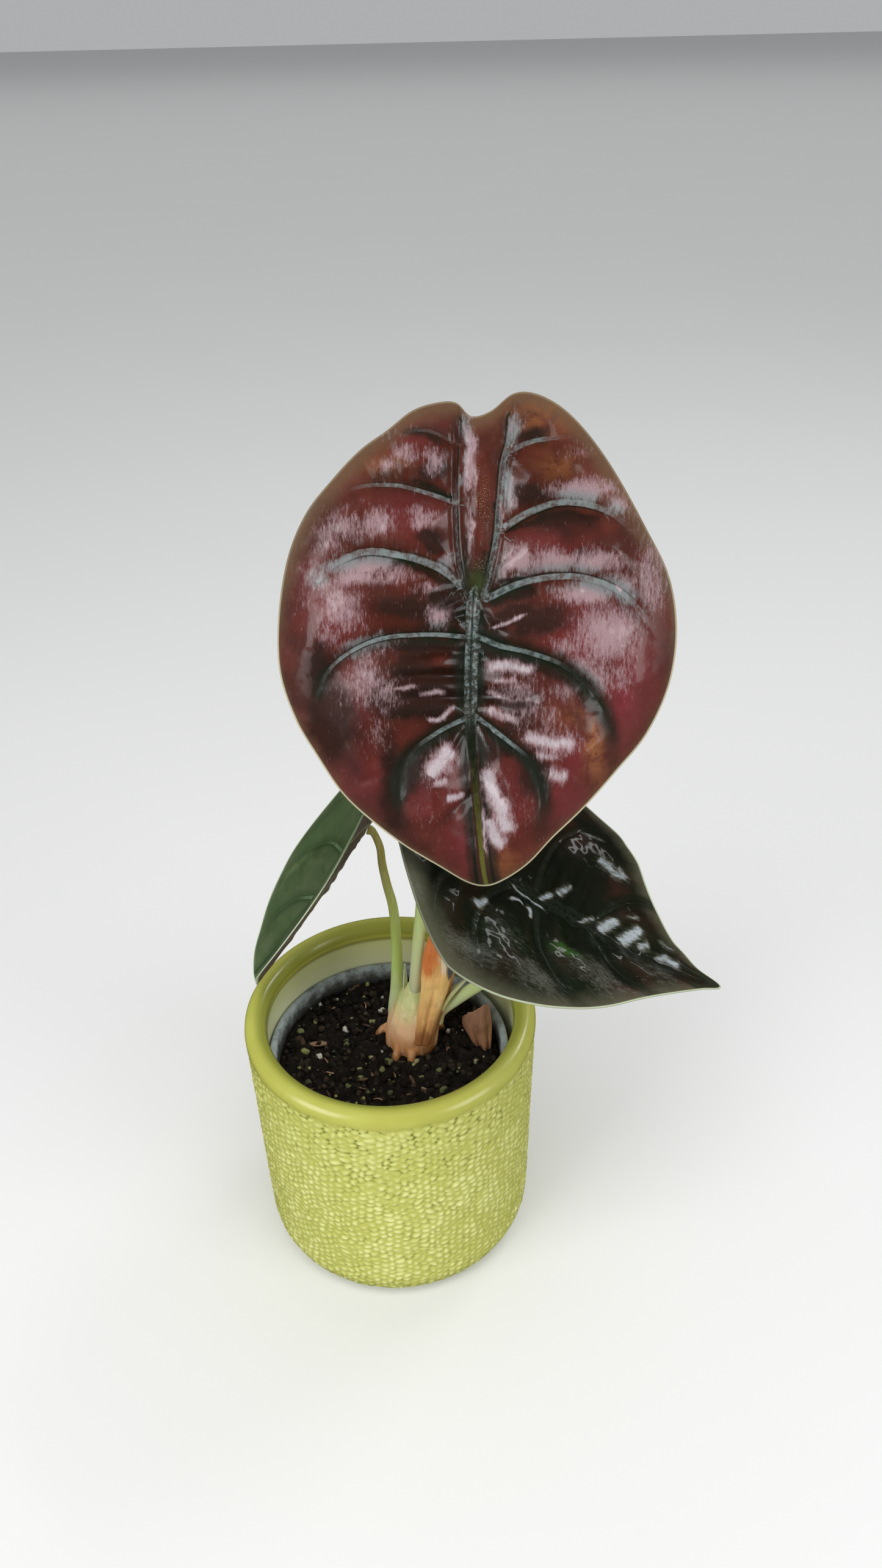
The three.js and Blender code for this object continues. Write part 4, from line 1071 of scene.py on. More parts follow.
    def spots(self, colour):
        """The oval over the stalk and the pale flecks along the midrib."""
        look = self.look
        colour = self.blend(self.attribute("spot") * look.spot_share, colour, look.spot)
        flecks = self.step(self.noise(self.flat, 26, 2, 0.7), 0.56, 0.7)
        flecks = flecks * self.attribute("fleck")
        return self.blend(flecks * look.spot_share, colour, FLECK_COLOUR)

    def glints(self, colour):
        """Painted highlights: bright strokes, each in a softer surround of painted sheen."""
        look = self.look
        lit = (self.attribute("glint") + (self.streaks - 0.5) * 1
               + (self.threads - 0.5) * 0.6)
        colour = self.blend(self.step(lit, 0.12, 0.6) * look.glint_share * 0.7, colour, look.sheen)
        glint = self.step(lit, 0.42, 0.95) * (self.step(self.speckle, 0.35, 0.65) * 0.3 + 0.7)
        return self.blend(glint * look.glint_share, colour, look.glint)

    def edge(self, colour):
        """The thin pale line at the margin."""
        edge = self.step(self.inside, 0.75, 0.3) * (0.25 + 0.75 * self.pale)
        return self.blend(edge, colour, self.look.edge)

    def finish(self):
        look, patches = self.look, self.patches
        colour = self.panels()
        for layer in (self.band, self.painted_sheen, self.painted_deep_shade, self.veins, self.low_midrib, self.spots,
                      self.glints, self.edge):
            colour = layer(colour)
        grain = self.noise(self.flat, 42, 2, 0.7)
        cells = self.noise(self.flat, 8, 4, 0.65)
        uneven = grain * 0.3 + cells * 0.5 + self.streaks * 0.8
        bumps = self.bump(uneven, look.bump * MM, 0.8)
        dull = self.step(self.inside, 17, 3)
        quiet = self.gate("shaded", 0.1, 0.6)
        roughness = (look.roughness + (patches - 0.5) * 0.16 + dull * look.dull_margin
                     + quiet * look.quiet_share)
        coat = (dull * -0.85 + 1) * (quiet * -0.95 + 1) * look.coat
        return self.set(Base_Color=colour, Roughness=roughness, Coat_Weight=coat,
                        Coat_Roughness=look.coat_roughness, Specular_IOR_Level=look.gloss,
                        Normal=bumps)


def blade_under(name, look):
    """The matt lower face, with its raised pale ribs."""
    s = Shader(name)
    flat = s.attribute("flat", "Vector")
    patches = s.noise(flat, 1.4, 4, 0.6)
    colour = s.blend(s.step(patches, 0.35, 0.7), look.under, look.under_second)
    raised = s.gate("gap", 1.6, 0.5)
    colour = s.blend(raised * 0.8, colour, look.under_vein)
    colour = s.blend(s.gate("rib", 2.2, 0.8), colour, look.under_vein)
    colour = s.blend(s.gate("inside", 1.6, 0.3), colour, look.edge)
    height = raised * 0.8 + s.noise(flat, 14, 3, 0.6) * 0.3
    return s.set(Base_Color=colour, Roughness=0.5, Normal=s.bump(height, 0.3 * MM, 0.7))


def blade_rim(name, look):
    """The edge itself: olive round the back lobes and pale down the sides."""
    s = Shader(name)
    flat = s.attribute("flat", "Vector")
    tone = s.noise(flat, 3)
    pale = s.step(s.axis(flat, 1), 1.5, -2.5)
    colour = s.blend(pale, look.band, look.edge)
    return s.set(Base_Color=s.blend(tone * 0.4, colour, look.band), Roughness=0.42)


# Sheaths

def build_sheath(name, material):
    sheath = SHEATHS[name]
    across, along = sheath["steps"]
    piece = new_grid(name, across, along)
    square = places_of(piece)
    a, b = (square[:, 0] + 1) / 2, (square[:, 1] + 1) / 2
    inner = 0.02 + 0.96 * a
    way = 0.02 + 0.96 * b

    def side(points):
        line = smooth_line(points, 16)
        shares = np.linspace(0, 1, len(line))
        return np.stack([np.interp(way, shares, line[:, k]) for k in range(3)], -1)

    at_left, at_right = side(sheath["left"]), side(sheath["right"])
    width = np.linalg.norm(at_right - at_left, axis=1)
    places = at_left + (at_right - at_left) * inner[:, None]
    places[:, 1] -= width * sheath["bow"] * 4 * inner * (1 - inner)
    fibres = lumps(np.stack([inner * 7, way * 1.3], -1), 1, 4)
    wrinkles = layered(places, (0.6, 4.5, 8), (0.3, 2.1, 9))
    away = sheath["crumple"] * (0.85 * fibres + 0.6 * wrinkles)
    fade = smooth(way * 6) * smooth((1 - way) * 8) * smooth(inner * 5) * smooth((1 - inner) * 5)
    places[:, 1] += away * (0.35 + 0.65 * fade)
    torn = inner * 4 + 0.3 * lumps(np.stack([inner * 14, inner * 0], -1), 1, 13)
    tear = lumps(np.stack([torn, inner * 0], -1), 1, 12) * sheath["crumple"] * 2.2 - 0.5
    places[:, 2] += tear * smooth((way - 0.7) / 0.3)
    set_places(piece, places * MM)
    give_flat(piece, "flat", inner, way)
    piece.data.materials.append(material)
    apply_modifier(piece, "SOLIDIFY", thickness=SHEATH_THICKNESS * MM, offset=0)
    return smoothed(piece)


def fibrous(name, upwards, patch, roughness, bump, marks):
    """Dry fibrous skin whose colour changes up its length, with patches of another colour and
    marks, each given by its place, half sizes and colour."""
    low, middle, high = upwards
    s = Shader(name)
    flat = s.attribute("flat", "Vector")
    along = s.axis(flat, 1)
    fibres = s.strands(flat, (26, 2.2, 1), 4, 0.65)
    blots = s.strands(flat, (3.2, 4.2, 1), 3, 0.6)
    share = along + (blots - 0.5) * 0.5
    colour = s.ramp(share, [(0, low), (0.45, middle), (0.8, high), (1, high)])
    colour = s.blend(s.step(fibres, 0.5, 0.75) * 0.5, colour, tuple(0.55 * c for c in middle))
    colour = s.blend(s.step(blots, 0.56, 0.74) * 0.75, colour, patch)
    for place, halves, tone in marks:
        scaled = s.node("ShaderNodeMapping", {"vector_type": "TEXTURE"}, {
            "Vector": flat, "Location": (*place, 0), "Scale": (*halves, 1)})
        away = s.length(scaled)
        colour = s.blend(s.step(away + (fibres - 0.5) * 1.6, 1.25, 0.7), colour, tone)
    return s.set(Base_Color=colour, Roughness=roughness,
                 Normal=s.bump(fibres, bump * MM, 0.8))


# Pots and mix

def sackcloth(places):
    """Coarse cloth pressed into the glaze, at places on the pot in millimetres: its height, and
    how deep its pits are, from 0 to 1."""
    x, y, z = places.T
    drift = layered(places, (0.5, 14, 21), (0.42, 5, 24))
    sway = layered(places, (0.55, 16, 22), (0.42, 5, 25))
    across = np.arctan2(y, x) / TURN * WARPS + drift
    i = np.floor(across)
    along = z / WEFT_PITCH + sway + 0.5 * np.mod(i, 2)
    j = np.floor(along)
    a, b = across - i, along - j
    own = hashed(np.mod(i, WARPS), j, np.full(i.shape, 5))
    slope = 0.5 * (hashed(np.mod(i, WARPS), j, np.full(i.shape, 6)) - 0.5)
    a = np.clip(a + slope * (b - 0.5), 0, 1)
    knot = np.sin(math.pi * a) ** 1.3 * np.sin(math.pi * b) * (0.5 + 0.6 * own)
    weft = np.sin(math.pi * b) ** 0.7 * (0.8 + 0.4 * lumps(places, 9, 29))
    height = (0.7 * knot + 0.32 * weft + 0.14 * lumps(places, 2.2, 27)
              + 0.16 * lumps(places, 7, 28) + 0.15)
    column, row = np.round(across), np.round(along)
    gap = hashed(np.mod(column, WARPS), row, np.full(i.shape, 9))
    slot = bell((across - column) / 0.4) * bell((along - row) / 0.2)
    pit = slot * np.maximum(1.7 * gap - 0.5, 0)
    return height, pit


def potting_height(x, y):
    """Height of the potting mix's lumpy top at a place measured from the nursery pot's axis."""
    waves = (np.sin(0.31 * x + 1) * np.cos(0.27 * y) + np.sin(0.62 * x - 0.5 * y + 2)
             + 0.8 * np.sin(0.95 * y + 0.4 * x))
    edge = smooth((np.hypot(x, y) - 44) / 8)
    return SOIL_LEVEL + 0.55 * waves - 2 * edge


def nursery_inner(height):
    low = NURSERY_BASE_RADIUS - NURSERY_WALL
    high = NURSERY_RADIUS - 1.6 - NURSERY_WALL
    return np.interp(height, [NURSERY_FLOOR, NURSERY_RIM], [low, high])


def arc(centre, radius, start, end, steps):
    angles = np.radians(np.linspace(start, end, steps + 1))
    return [(centre[0] + radius * math.cos(t), centre[1] + radius * math.sin(t)) for t in angles]


def scattered(name, grain, places, sizes, turns, tones):
    """Copies one small shape to many places in a single mesh, each with its own tone."""
    shape = places_of(grain)
    faces = [tuple(p.vertices) for p in grain.data.polygons]
    all_places, all_faces, all_tones = [], [], []
    for k, (place, size, turn, tone) in enumerate(zip(places, sizes, turns, tones)):
        spin = np.array(Matrix.Rotation(turn[0], 3, "X") @ Matrix.Rotation(turn[1], 3, "Z"))
        uneven = 1 + 0.5 * lumps(shape * 1.3 + 17 * k, 0.9, 31)[:, None]
        all_places.append((shape * uneven * size) @ spin.T + place)
        all_faces += [tuple(i + k * len(shape) for i in face) for face in faces]
        all_tones.append(np.full(len(shape), tone))
    piece = new_mesh(name, np.vstack(all_places) * MM, all_faces)
    give_attribute(piece, "tone", np.concatenate(all_tones))
    return smoothed(piece)


def small_stone(faces_level):
    deselect()
    bpy.ops.mesh.primitive_ico_sphere_add(subdivisions=faces_level, radius=1)
    stone = bpy.context.object
    places = places_of(stone)
    set_places(stone, places * (1 + 0.16 * lumps(places, 0.8, 2)[:, None]))
    return stone


def grain_material(name, stops, roughness, bump):
    """Loose grains, each with a colour of its own from the stops."""
    s = Shader(name)
    place = s.object_place()
    fine = s.noise(place, 900, 3, 0.6)
    colour = s.ramp(s.attribute("tone"), stops)
    colour = s.blend(fine * 0.5, colour, s.blend(0.5, colour, (0, 0, 0)))
    return s.set(Base_Color=colour, Roughness=roughness, Normal=s.bump(fine, bump * MM, 0.7))


# Settings that a user would change

def tint(name, description, default):
    return bpy.props.FloatVectorProperty(
        name=name, description=description, default=default, subtype="COLOR")


def portion(name, description, default):
    return bpy.props.FloatProperty(
        name=name, description=description, default=default, subtype="FACTOR", min=0, max=1)


def amount(name, description, default):
    return bpy.props.FloatProperty(
        name=name, description=description, default=default, subtype="UNSIGNED")


def watts(name, description, default):
    return bpy.props.FloatProperty(
        name=name, description=description, default=default, unit="POWER")


def number_of(name, description, default):
    return bpy.props.IntProperty(
        name=name, description=description, default=default, subtype="UNSIGNED")


class PotSettings(bpy.types.PropertyGroup):
    """The cachepot's and the nursery pot's finish."""

    relief: bpy.props.FloatProperty(
        name="Relief", description="How far the pressed cloth pattern stands out",
        default=1.1 * MM, unit="LENGTH")
    glaze: tint("Glaze", "Colour of the glaze on the knobs", (0.75, 0.76, 0.3))
    glaze_pooled: tint("Pooled glaze", "Colour of the glaze where it is thick, in the recesses",
                       (0.52, 0.53, 0.12))
    glaze_rim: tint("Rim glaze", "Colour of the glaze on the lip and the inner wall",
                    (0.44, 0.44, 0.08))
    plastic: tint("Nursery pot", "Colour of the thin plastic pot", (0.4, 0.47, 0.48))


class LeafLook(bpy.types.PropertyGroup):
    """Colours and gloss of one blade."""

    body: tint("Blade", "Main colour between the veins", (0.058, 0.013, 0.008))
    body_second: tint("Blade, second", "Colour of the broad drifts", (0.095, 0.019, 0.012))
    body_third: tint("Blade, third", "Colour of the rosy zones", (0.165, 0.024, 0.03))
    # Painted light: the lit zones where the thin blade shows light through.
    glow: tint("Lit zones", "Colour of the thin, yellowish zones", (0.34, 0.13, 0.035))
    # Painted shade: the shaded zones, the folds, and the deepest flanks away from the veins.
    shade: tint("Shaded zones", "Colour of the deep zones and folds", (0.017, 0.006, 0.003))
    shade_share: portion("Shaded strength", "How dark the deep zones are", 0.85)
    vein: tint("Along the veins", "Dark colour beside the veins", (0.008, 0.012, 0.006))
    # The vein floor is partly painted reflection.
    vein_floor: tint("Vein floor", "Grey-green colour in the bottom of the veins",
                     (0.19, 0.24, 0.235))
    halo_share: portion("Dark strength", "How plainly the dark halo along the veins shows", 0.8)
    # Painted shade in the deepest folds and flanks.
    deep_share: portion("Deep strength", "How dark the deepest folds and flanks are", 0.9)
    # The vein floor, partly painted reflection.
    floor_share: portion("Vein floor strength", "How plainly the vein floor shows", 0.8)
    vein_line: tint("Vein", "Colour of the thin lines along the veins", (0.005, 0.009, 0.004))
    line_share: portion("Vein strength", "How plainly the vein itself shows", 0.85)
    # Painted sheen, cooler along the veins, with a painted sparkle.
    sheen: tint("Sheen", "Colour of the silky zones", (0.33, 0.215, 0.23))
    sheen_cool: tint("Sheen by the veins", "Colour of the silky zones along the veins",
                     (0.24, 0.275, 0.28))
    sheen_share: portion("Sheen strength", "How plainly the silky zones show", 0.86)
    # Painted highlights.
    glint: tint("Glints", "Colour of the brightest zones", (0.5, 0.45, 0.475))
    glint_share: portion("Glint strength", "How plainly the brightest zones show", 0.85)
    spot: tint("Stalk spot", "Colour of the oval over the stalk", (0.03, 0.042, 0.006))
    spot_share: portion("Stalk spot strength", "How plainly the oval and the flecks show", 0.9)
    rib: tint("Lower midrib", "Colour of the midrib near the tip", (0.1, 0.1, 0.014))
    rib_share: portion("Lower midrib strength", "How plainly the lower midrib shows", 0.9)
    band: tint("Margin band", "Colour of the band along the margin", (0.1, 0.065, 0.03))
    band_above: tint("Margin band above", "Colour of the wider band round the back lobes",
                     (0.125, 0.075, 0.038))
    band_width: amount("Margin band width", "Width of the band along the margin, in millimetres",
                       4.2)
    band_share: portion("Margin band strength", "How plainly the band shows", 0.75)
    edge: tint("Edge", "Colour of the thin line at the margin", (0.5, 0.46, 0.3))
    under: tint("Underside", "Colour of the lower face", (0.2, 0.06, 0.07))
    under_second: tint("Underside, second", "Colour of the lower face's drifts",
                       (0.15, 0.075, 0.06))
    under_vein: tint("Underside veins", "Colour of the veins below", (0.3, 0.34, 0.16))
    quiet_share: portion("Quiet shade", "How much duller the shaded zones are", 0.35)
    roughness: portion("Roughness", "How dull the upper face is", 0.22)
    dull_margin: portion("Dull margin", "How much duller the upper face is along its margin", 0.3)
    gloss: portion("Gloss", "How strongly the skin below the wax reflects", 0.22)
    coat: portion("Wax", "Weight of the clear waxy layer", 0.6)
    coat_roughness: portion("Wax roughness", "How dull the waxy layer is", 0.16)
    bump: amount("Grain", "Depth of the fine grain, in millimetres", 0.28)


class PlantSettings(bpy.types.PropertyGroup):
    """The plant, its mix and their colours."""

    front: bpy.props.PointerProperty(
        type=LeafLook, name="Front blade", description="Colours and gloss of the front blade")
    right: bpy.props.PointerProperty(
        type=LeafLook, name="Right blade", description="Colours and gloss of the right blade")
    left: bpy.props.PointerProperty(
        type=LeafLook, name="Left blade", description="Colours and gloss of the left blade")
    stem: tint("Stem", "Colour of the plump stem base", (0.84, 0.48, 0.27))
    stalk: tint("Stalks", "Colour of the leaf stalks", (0.37, 0.53, 0.14))
    mix: tint("Potting mix", "Colour of the damp mix", (0.014, 0.011, 0.009))
    crumbs: number_of("Crumbs", "Number of loose crumbs on the mix", 1150)
    grains: number_of("Grains", "Number of pale mineral grains", 105)
    fibres: number_of("Fibres", "Number of thin root fibres on the mix", 13)
    seed: number_of("Seed", "Seed of every random draw", 7)


class StageSettings(bpy.types.PropertyGroup):
    """The floor and the lights."""

    floor: tint("Floor", "Colour of the floor", (0.78, 0.78, 0.77))
    key_power: watts("Left light", "Power of the large soft light on the left", 9.5)
    fill_power: watts("Right light", "Power of the soft light on the right", 6)
    top_power: watts("Top light", "Power of the very large light overhead", 300)
    strip_power: watts("Strip light", "Power of the wide light above and in front", 7)
    back_power: watts("Back light", "Power of the narrow light from behind", 3)
    sky: amount("Surroundings", "Strength of the even light from all round", 0.52)


# What differs on the other two blades
# On the right blade, sheen is painted reflection, glint painted highlight and glow painted light.
RIGHT_LOOK = dict(
    body=(0.006, 0.01, 0.004), body_second=(0.015, 0.011, 0.006), body_third=(0.045, 0.016, 0.011),
    glow=(0.025, 0.07, 0.01), shade=(0.006, 0.008, 0.004), vein=(0.005, 0.008, 0.004),
    sheen=(0.085, 0.085, 0.06), sheen_cool=(0.075, 0.08, 0.06), sheen_share=0.75,
    glint=(0.44, 0.49, 0.52), glint_share=0.9, spot_share=0, deep_share=0,
    vein_floor=(0.02, 0.026, 0.018), floor_share=0.6, vein_line=(0.03, 0.04, 0.02),
    line_share=0.3, rib=(0.02, 0.02, 0.01), rib_share=0.3, band=(0.115, 0.11, 0.07),
    band_above=(0.1, 0.1, 0.062), band_width=8.5, band_share=0.8, edge=(0.45, 0.5, 0.34),
    under=(0.16, 0.07, 0.07), under_second=(0.12, 0.08, 0.06), under_vein=(0.25, 0.28, 0.14),
    roughness=0.28, coat=0.2, gloss=0.06, dull_margin=0.15, coat_roughness=0.06, bump=0.25)
LEFT_LOOK = dict(
    body=(0.078, 0.104, 0.046), body_second=(0.048, 0.074, 0.028), body_third=(0.055, 0.1, 0.036),
    sheen_share=0, glint_share=0, spot_share=0, deep_share=0, halo_share=0.5,
    glow=(0.1, 0.17, 0.06), shade=(0.03, 0.062, 0.02), shade_share=0.4, vein=(0.024, 0.052, 0.017),
    vein_floor=(0.12, 0.18, 0.1), floor_share=0.85, vein_line=(0.018, 0.04, 0.012), line_share=0.8,
    rib=(0.16, 0.24, 0.09), rib_share=0.9, band=(0.16, 0.23, 0.11),
    band_above=(0.16, 0.23, 0.11), band_width=3.4,
    band_share=0.95, edge=(0.55, 0.62, 0.46), under=(0.15, 0.1, 0.085),
    under_second=(0.12, 0.1, 0.075), under_vein=(0.25, 0.28, 0.14), roughness=0.4, coat=0.25,
    coat_roughness=0.2, bump=0.12)


# Operators

# Each light's place and target in metres, its two sizes, and whether glossy skins mirror it; its
# power is the setting of the same name. The large ones would lay a veil on the dark blades.
PLANT_MIDDLE = (0.01, -0.01, 0.23)
LIGHTS = {
    "key": ((-1, -0.85, 0.65), PLANT_MIDDLE, (0.82, 0.9), True),
    "fill": ((1.1, -0.8, 0.6), PLANT_MIDDLE, (0.7, 0.8), True),
    "top": ((0, 4, 7), (0, 4, 0), (16, 16), False),
    "strip": ((0.04, -0.62, 1.4), (0.04, -0.04, 0.35), (1, 0.42), False),
    "back": ((0.93, 0.82, 1.27), PLANT_MIDDLE, (0.6, 0.12), True),
}
FLOOR_SIZE = 60
SKY = (0.8, 0.82, 0.84, 1)
SENSOR = 36
NEAREST = 0.01


class PLANT_OT_stage(bpy.types.Operator):
    """Lay the floor, set the lights and place the camera"""

    bl_idname = "plant.stage"
    bl_label = "Stage"

    def area_light(self, name, power):
        place, target, size, seen = LIGHTS[name]
        data = bpy.data.lights.new(name, "AREA")
        data.shape = "RECTANGLE"
        data.size, data.size_y = size
        data.energy = power
        light = bpy.data.objects.new(name, data)
        bpy.context.scene.collection.objects.link(light)
        light.visible_glossy = seen
        light.location = place
        light.rotation_euler = (Vector(target) - Vector(place)).to_track_quat("-Z", "Y").to_euler()

    def execute(self, context):
        look = context.scene.plant_stage
        deselect()
        bpy.ops.mesh.primitive_plane_add(size=FLOOR_SIZE, location=(0, 0, 0))
        floor = context.object
        floor.name = "floor"
        floor.visible_glossy = False
        s = Shader("pale_floor")
        mottle = s.noise(s.object_place(), 3)
        colour = s.blend(mottle, look.floor, tuple(0.97 * c for c in look.floor))
        floor.data.materials.append(s.set(Base_Color=colour, Roughness=0.7))
        for name in LIGHTS:
            self.area_light(name, getattr(look, f"{name}_power"))
        world = bpy.data.worlds.new("studio")
        world.use_nodes = True
        background = world.node_tree.nodes["Background"]
        background.inputs["Color"].default_value = SKY
        background.inputs["Strength"].default_value = look.sky
        context.scene.world = world
        world.cycles_visibility.glossy = False
        context.scene.view_settings.view_transform = "Standard"
        camera = bpy.data.objects.new("camera", bpy.data.cameras.new("camera"))
        context.scene.collection.objects.link(camera)
        camera.data.sensor_width = SENSOR
        camera.data.lens = SENSOR * CAMERA_FOCUS
        camera.data.clip_start = NEAREST
        tilt = Matrix.Rotation(math.radians(90 - CAMERA_DOWN), 3, "X")
        roll = Matrix.Rotation(math.radians(CAMERA_ROLL), 3, "Z")
        camera.location = Vector(CAMERA_PLACE) * MM
        camera.rotation_euler = (tilt @ roll).to_euler()
        context.scene.camera = camera
        return {"FINISHED"}


class PLANT_OT_cachepot(bpy.types.Operator):
    """Build the glazed cachepot with its pressed cloth relief"""

    bl_idname = "plant.cachepot"
    bl_label = "Cachepot"

    def profile(self):
        """The outside from the foot's middle up to the relief's top, the lip and the inside."""
        foot = POT_RADIUS - POT_TAPER
        wall = POT_RADIUS - WALL
        corner = arc((foot - POT_CORNER, POT_CORNER), POT_CORNER, -90, 0, 22)
        heights = np.linspace(POT_CORNER, RELIEF_TOP, 119)[1:]
        upright = [(foot + POT_TAPER * (z - POT_CORNER) / (TAPER_TOP - POT_CORNER), z)
                   for z in heights]
        lip = arc((POT_RADIUS - LIP / 2, POT_HEIGHT - LIP / 2), LIP / 2, 0, 180, 10)
        groove = [(POT_RADIUS - LIP, 121), (POT_RADIUS - LIP - 0.2, 119.6), (wall - 0.5, 118),
                  (wall, 116), (wall - 0.1, 108), (wall - 0.6, 60)]
        heel = arc((wall - 8.2, POT_FLOOR + 7), 7, 0, -90, 4)
        return [(0, 0), (20, 0), *corner, *upright, *lip, *groove, *heel, (0, POT_FLOOR)]

    def glaze(self, look):
        s = Shader("green_glaze")
        place = s.object_place()
        height = s.axis(place, 2)
        away = s.length(s.stretched(place, (1, 1, 0)))
        knob = s.attribute("knob")
        clouds = s.noise(place, 38, 3)
        colour = s.blend(s.step(knob + (clouds - 0.5) * 0.3, 0.4, 1.1),
                         look.glaze_pooled, look.glaze)
        # Painted shade under the lip: the upper part a little darker, and the pits darker there.
        upper = s.step(height, 0.07, 0.118)
        colour = s.blend(upper * 0.3, colour, look.glaze_pooled)
        colour = s.blend(s.gate("pit", 0.15, 0.7) * (upper * 0.65 + 0.1), colour, GLAZE_PIT_SHADE)
        smooth_part = s.attribute("plain")
        rim = s.blend(s.step(clouds, 0.35, 0.7), look.glaze_rim, GLAZE_LIP_PALE)
        # Painted shade on the lip's inner edge.
        inwards = s.step(away, (POT_RADIUS - 0.3 * LIP) * MM, (POT_RADIUS - 0.75 * LIP) * MM)
        rim = s.blend(inwards * 0.8, rim, GLAZE_LIP_INSIDE_SHADE)
        colour = s.blend(smooth_part, colour, rim)
        # Painted light on the inner wall, with painted shade in the groove under the lip.
        inner = (s.step(away, (POT_RADIUS - WALL + 4) * MM, (POT_RADIUS - WALL + 1) * MM)
                 * s.step(height, 0.1225, 0.1205))
        wall = s.ramp(s.step(height, 0.095, 0.1225), INNER_WALL_LIGHT_AND_SHADE)
        colour = s.blend(inner, colour, wall)
        fine = s.noise(place, 700, 2)
        waves = s.noise(s.stretched(place, (1, 1, 1.9)), 340, 3, 0.6)
        roughness = 0.32 + (clouds - 0.5) * 0.15
        uneven = fine * 0.2 + waves * (1 - smooth_part) + waves * 0.1
        return s.set(Base_Color=colour, Roughness=roughness, Coat_Weight=0.5,
                     Coat_Roughness=0.16, Normal=s.bump(uneven, 0.42 * MM, 0.7))

    def execute(self, context):
        look = context.scene.plant_pot
        piece = spun("cachepot_glazed", self.profile(), POT_STEPS)
        places = places_of(piece) / MM
        away = np.hypot(places[:, 0], places[:, 1])
        drop = np.maximum(POT_CORNER - places[:, 2], 0)
        outer = POT_RADIUS - POT_TAPER - POT_CORNER + np.sqrt(POT_CORNER ** 2 - drop ** 2)
        outside = (away > outer - 1) & (away > 40)
        top = RELIEF_TOP + 0.8 * lumps(places, 6, 26)
        cover = smooth((places[:, 2] - 2) / 5) * smooth((top - places[:, 2]) / 1.2) * outside
        height, pit = sackcloth(places)
        knob = height * cover
        push = KNOT_RISE * (knob - KNOT_LEVEL * cover) - PIT_DEPTH * pit * cover
        scale = 1 + push * look.relief / MM / np.maximum(away, 1)
        places[:, :2] *= scale[:, None]
        set_places(piece, places * MM)
        give_attribute(piece, "knob", knob)
        give_attribute(piece, "pit", pit * cover)
        give_attribute(piece, "plain", 1 - cover)
        settle(piece, self.glaze(look), "cachepot")
        return {"FINISHED"}


class PLANT_OT_nursery_pot(bpy.types.Operator):
    """Build the thin nursery pot"""

    bl_idname = "plant.nursery_pot"
    bl_label = "Nursery pot"

    def execute(self, context):
        look = context.scene.plant_pot
        low, skirt, rim = NURSERY_FLOOR, NURSERY_RIM - 9, NURSERY_RADIUS
        outer = lambda z: float(nursery_inner(z)) + NURSERY_WALL
        heights = np.linspace(low + 2, skirt, 20)
        profile = [(0, low), (outer(low) - 2, low), *[(outer(z), z) for z in heights],
                   (rim, skirt + 0.8), (rim, NURSERY_RIM - 0.8),
                   *arc((rim - 0.9, NURSERY_RIM - 0.9), 0.9, 10, 90, 5),
                   (float(nursery_inner(NURSERY_RIM)), NURSERY_RIM - 0.3),
                   *[(float(nursery_inner(z)), z) for z in heights[::-1]],
                   (outer(low) - 3.5, low + NURSERY_WALL), (0, low + NURSERY_WALL)]
        piece = spun("nursery_pot_thin", profile, NURSERY_STEPS)
        shift = np.array([NURSERY_AXIS.x, NURSERY_AXIS.y, 0])
        places = places_of(piece) / MM
        places[:, 2] = np.minimum(places[:, 2], NURSERY_RIM)
        set_places(piece, (places + shift) * MM)
        s = Shader("pale_plastic")
        place = s.object_place()
        film = s.strands(place, (60, 60, 160), 4, 0.6)
        dirt = s.noise(place, 150, 4, 0.7)
        colour = s.blend(s.step(film, 0.35, 0.7), look.plastic,
                         tuple(0.72 * c for c in look.plastic))
        soiled = s.step(s.axis(place, 2) + (dirt - 0.5) * 0.02, 0.1055, 0.0965)
        colour = s.blend(soiled * 0.92, colour, MIX_STAIN)
        plastic = s.set(Base_Color=colour, Roughness=0.38, Normal=s.bump(film, 0.1 * MM, 0.5))
        settle(piece, plastic, "nursery_pot")
        return {"FINISHED"}


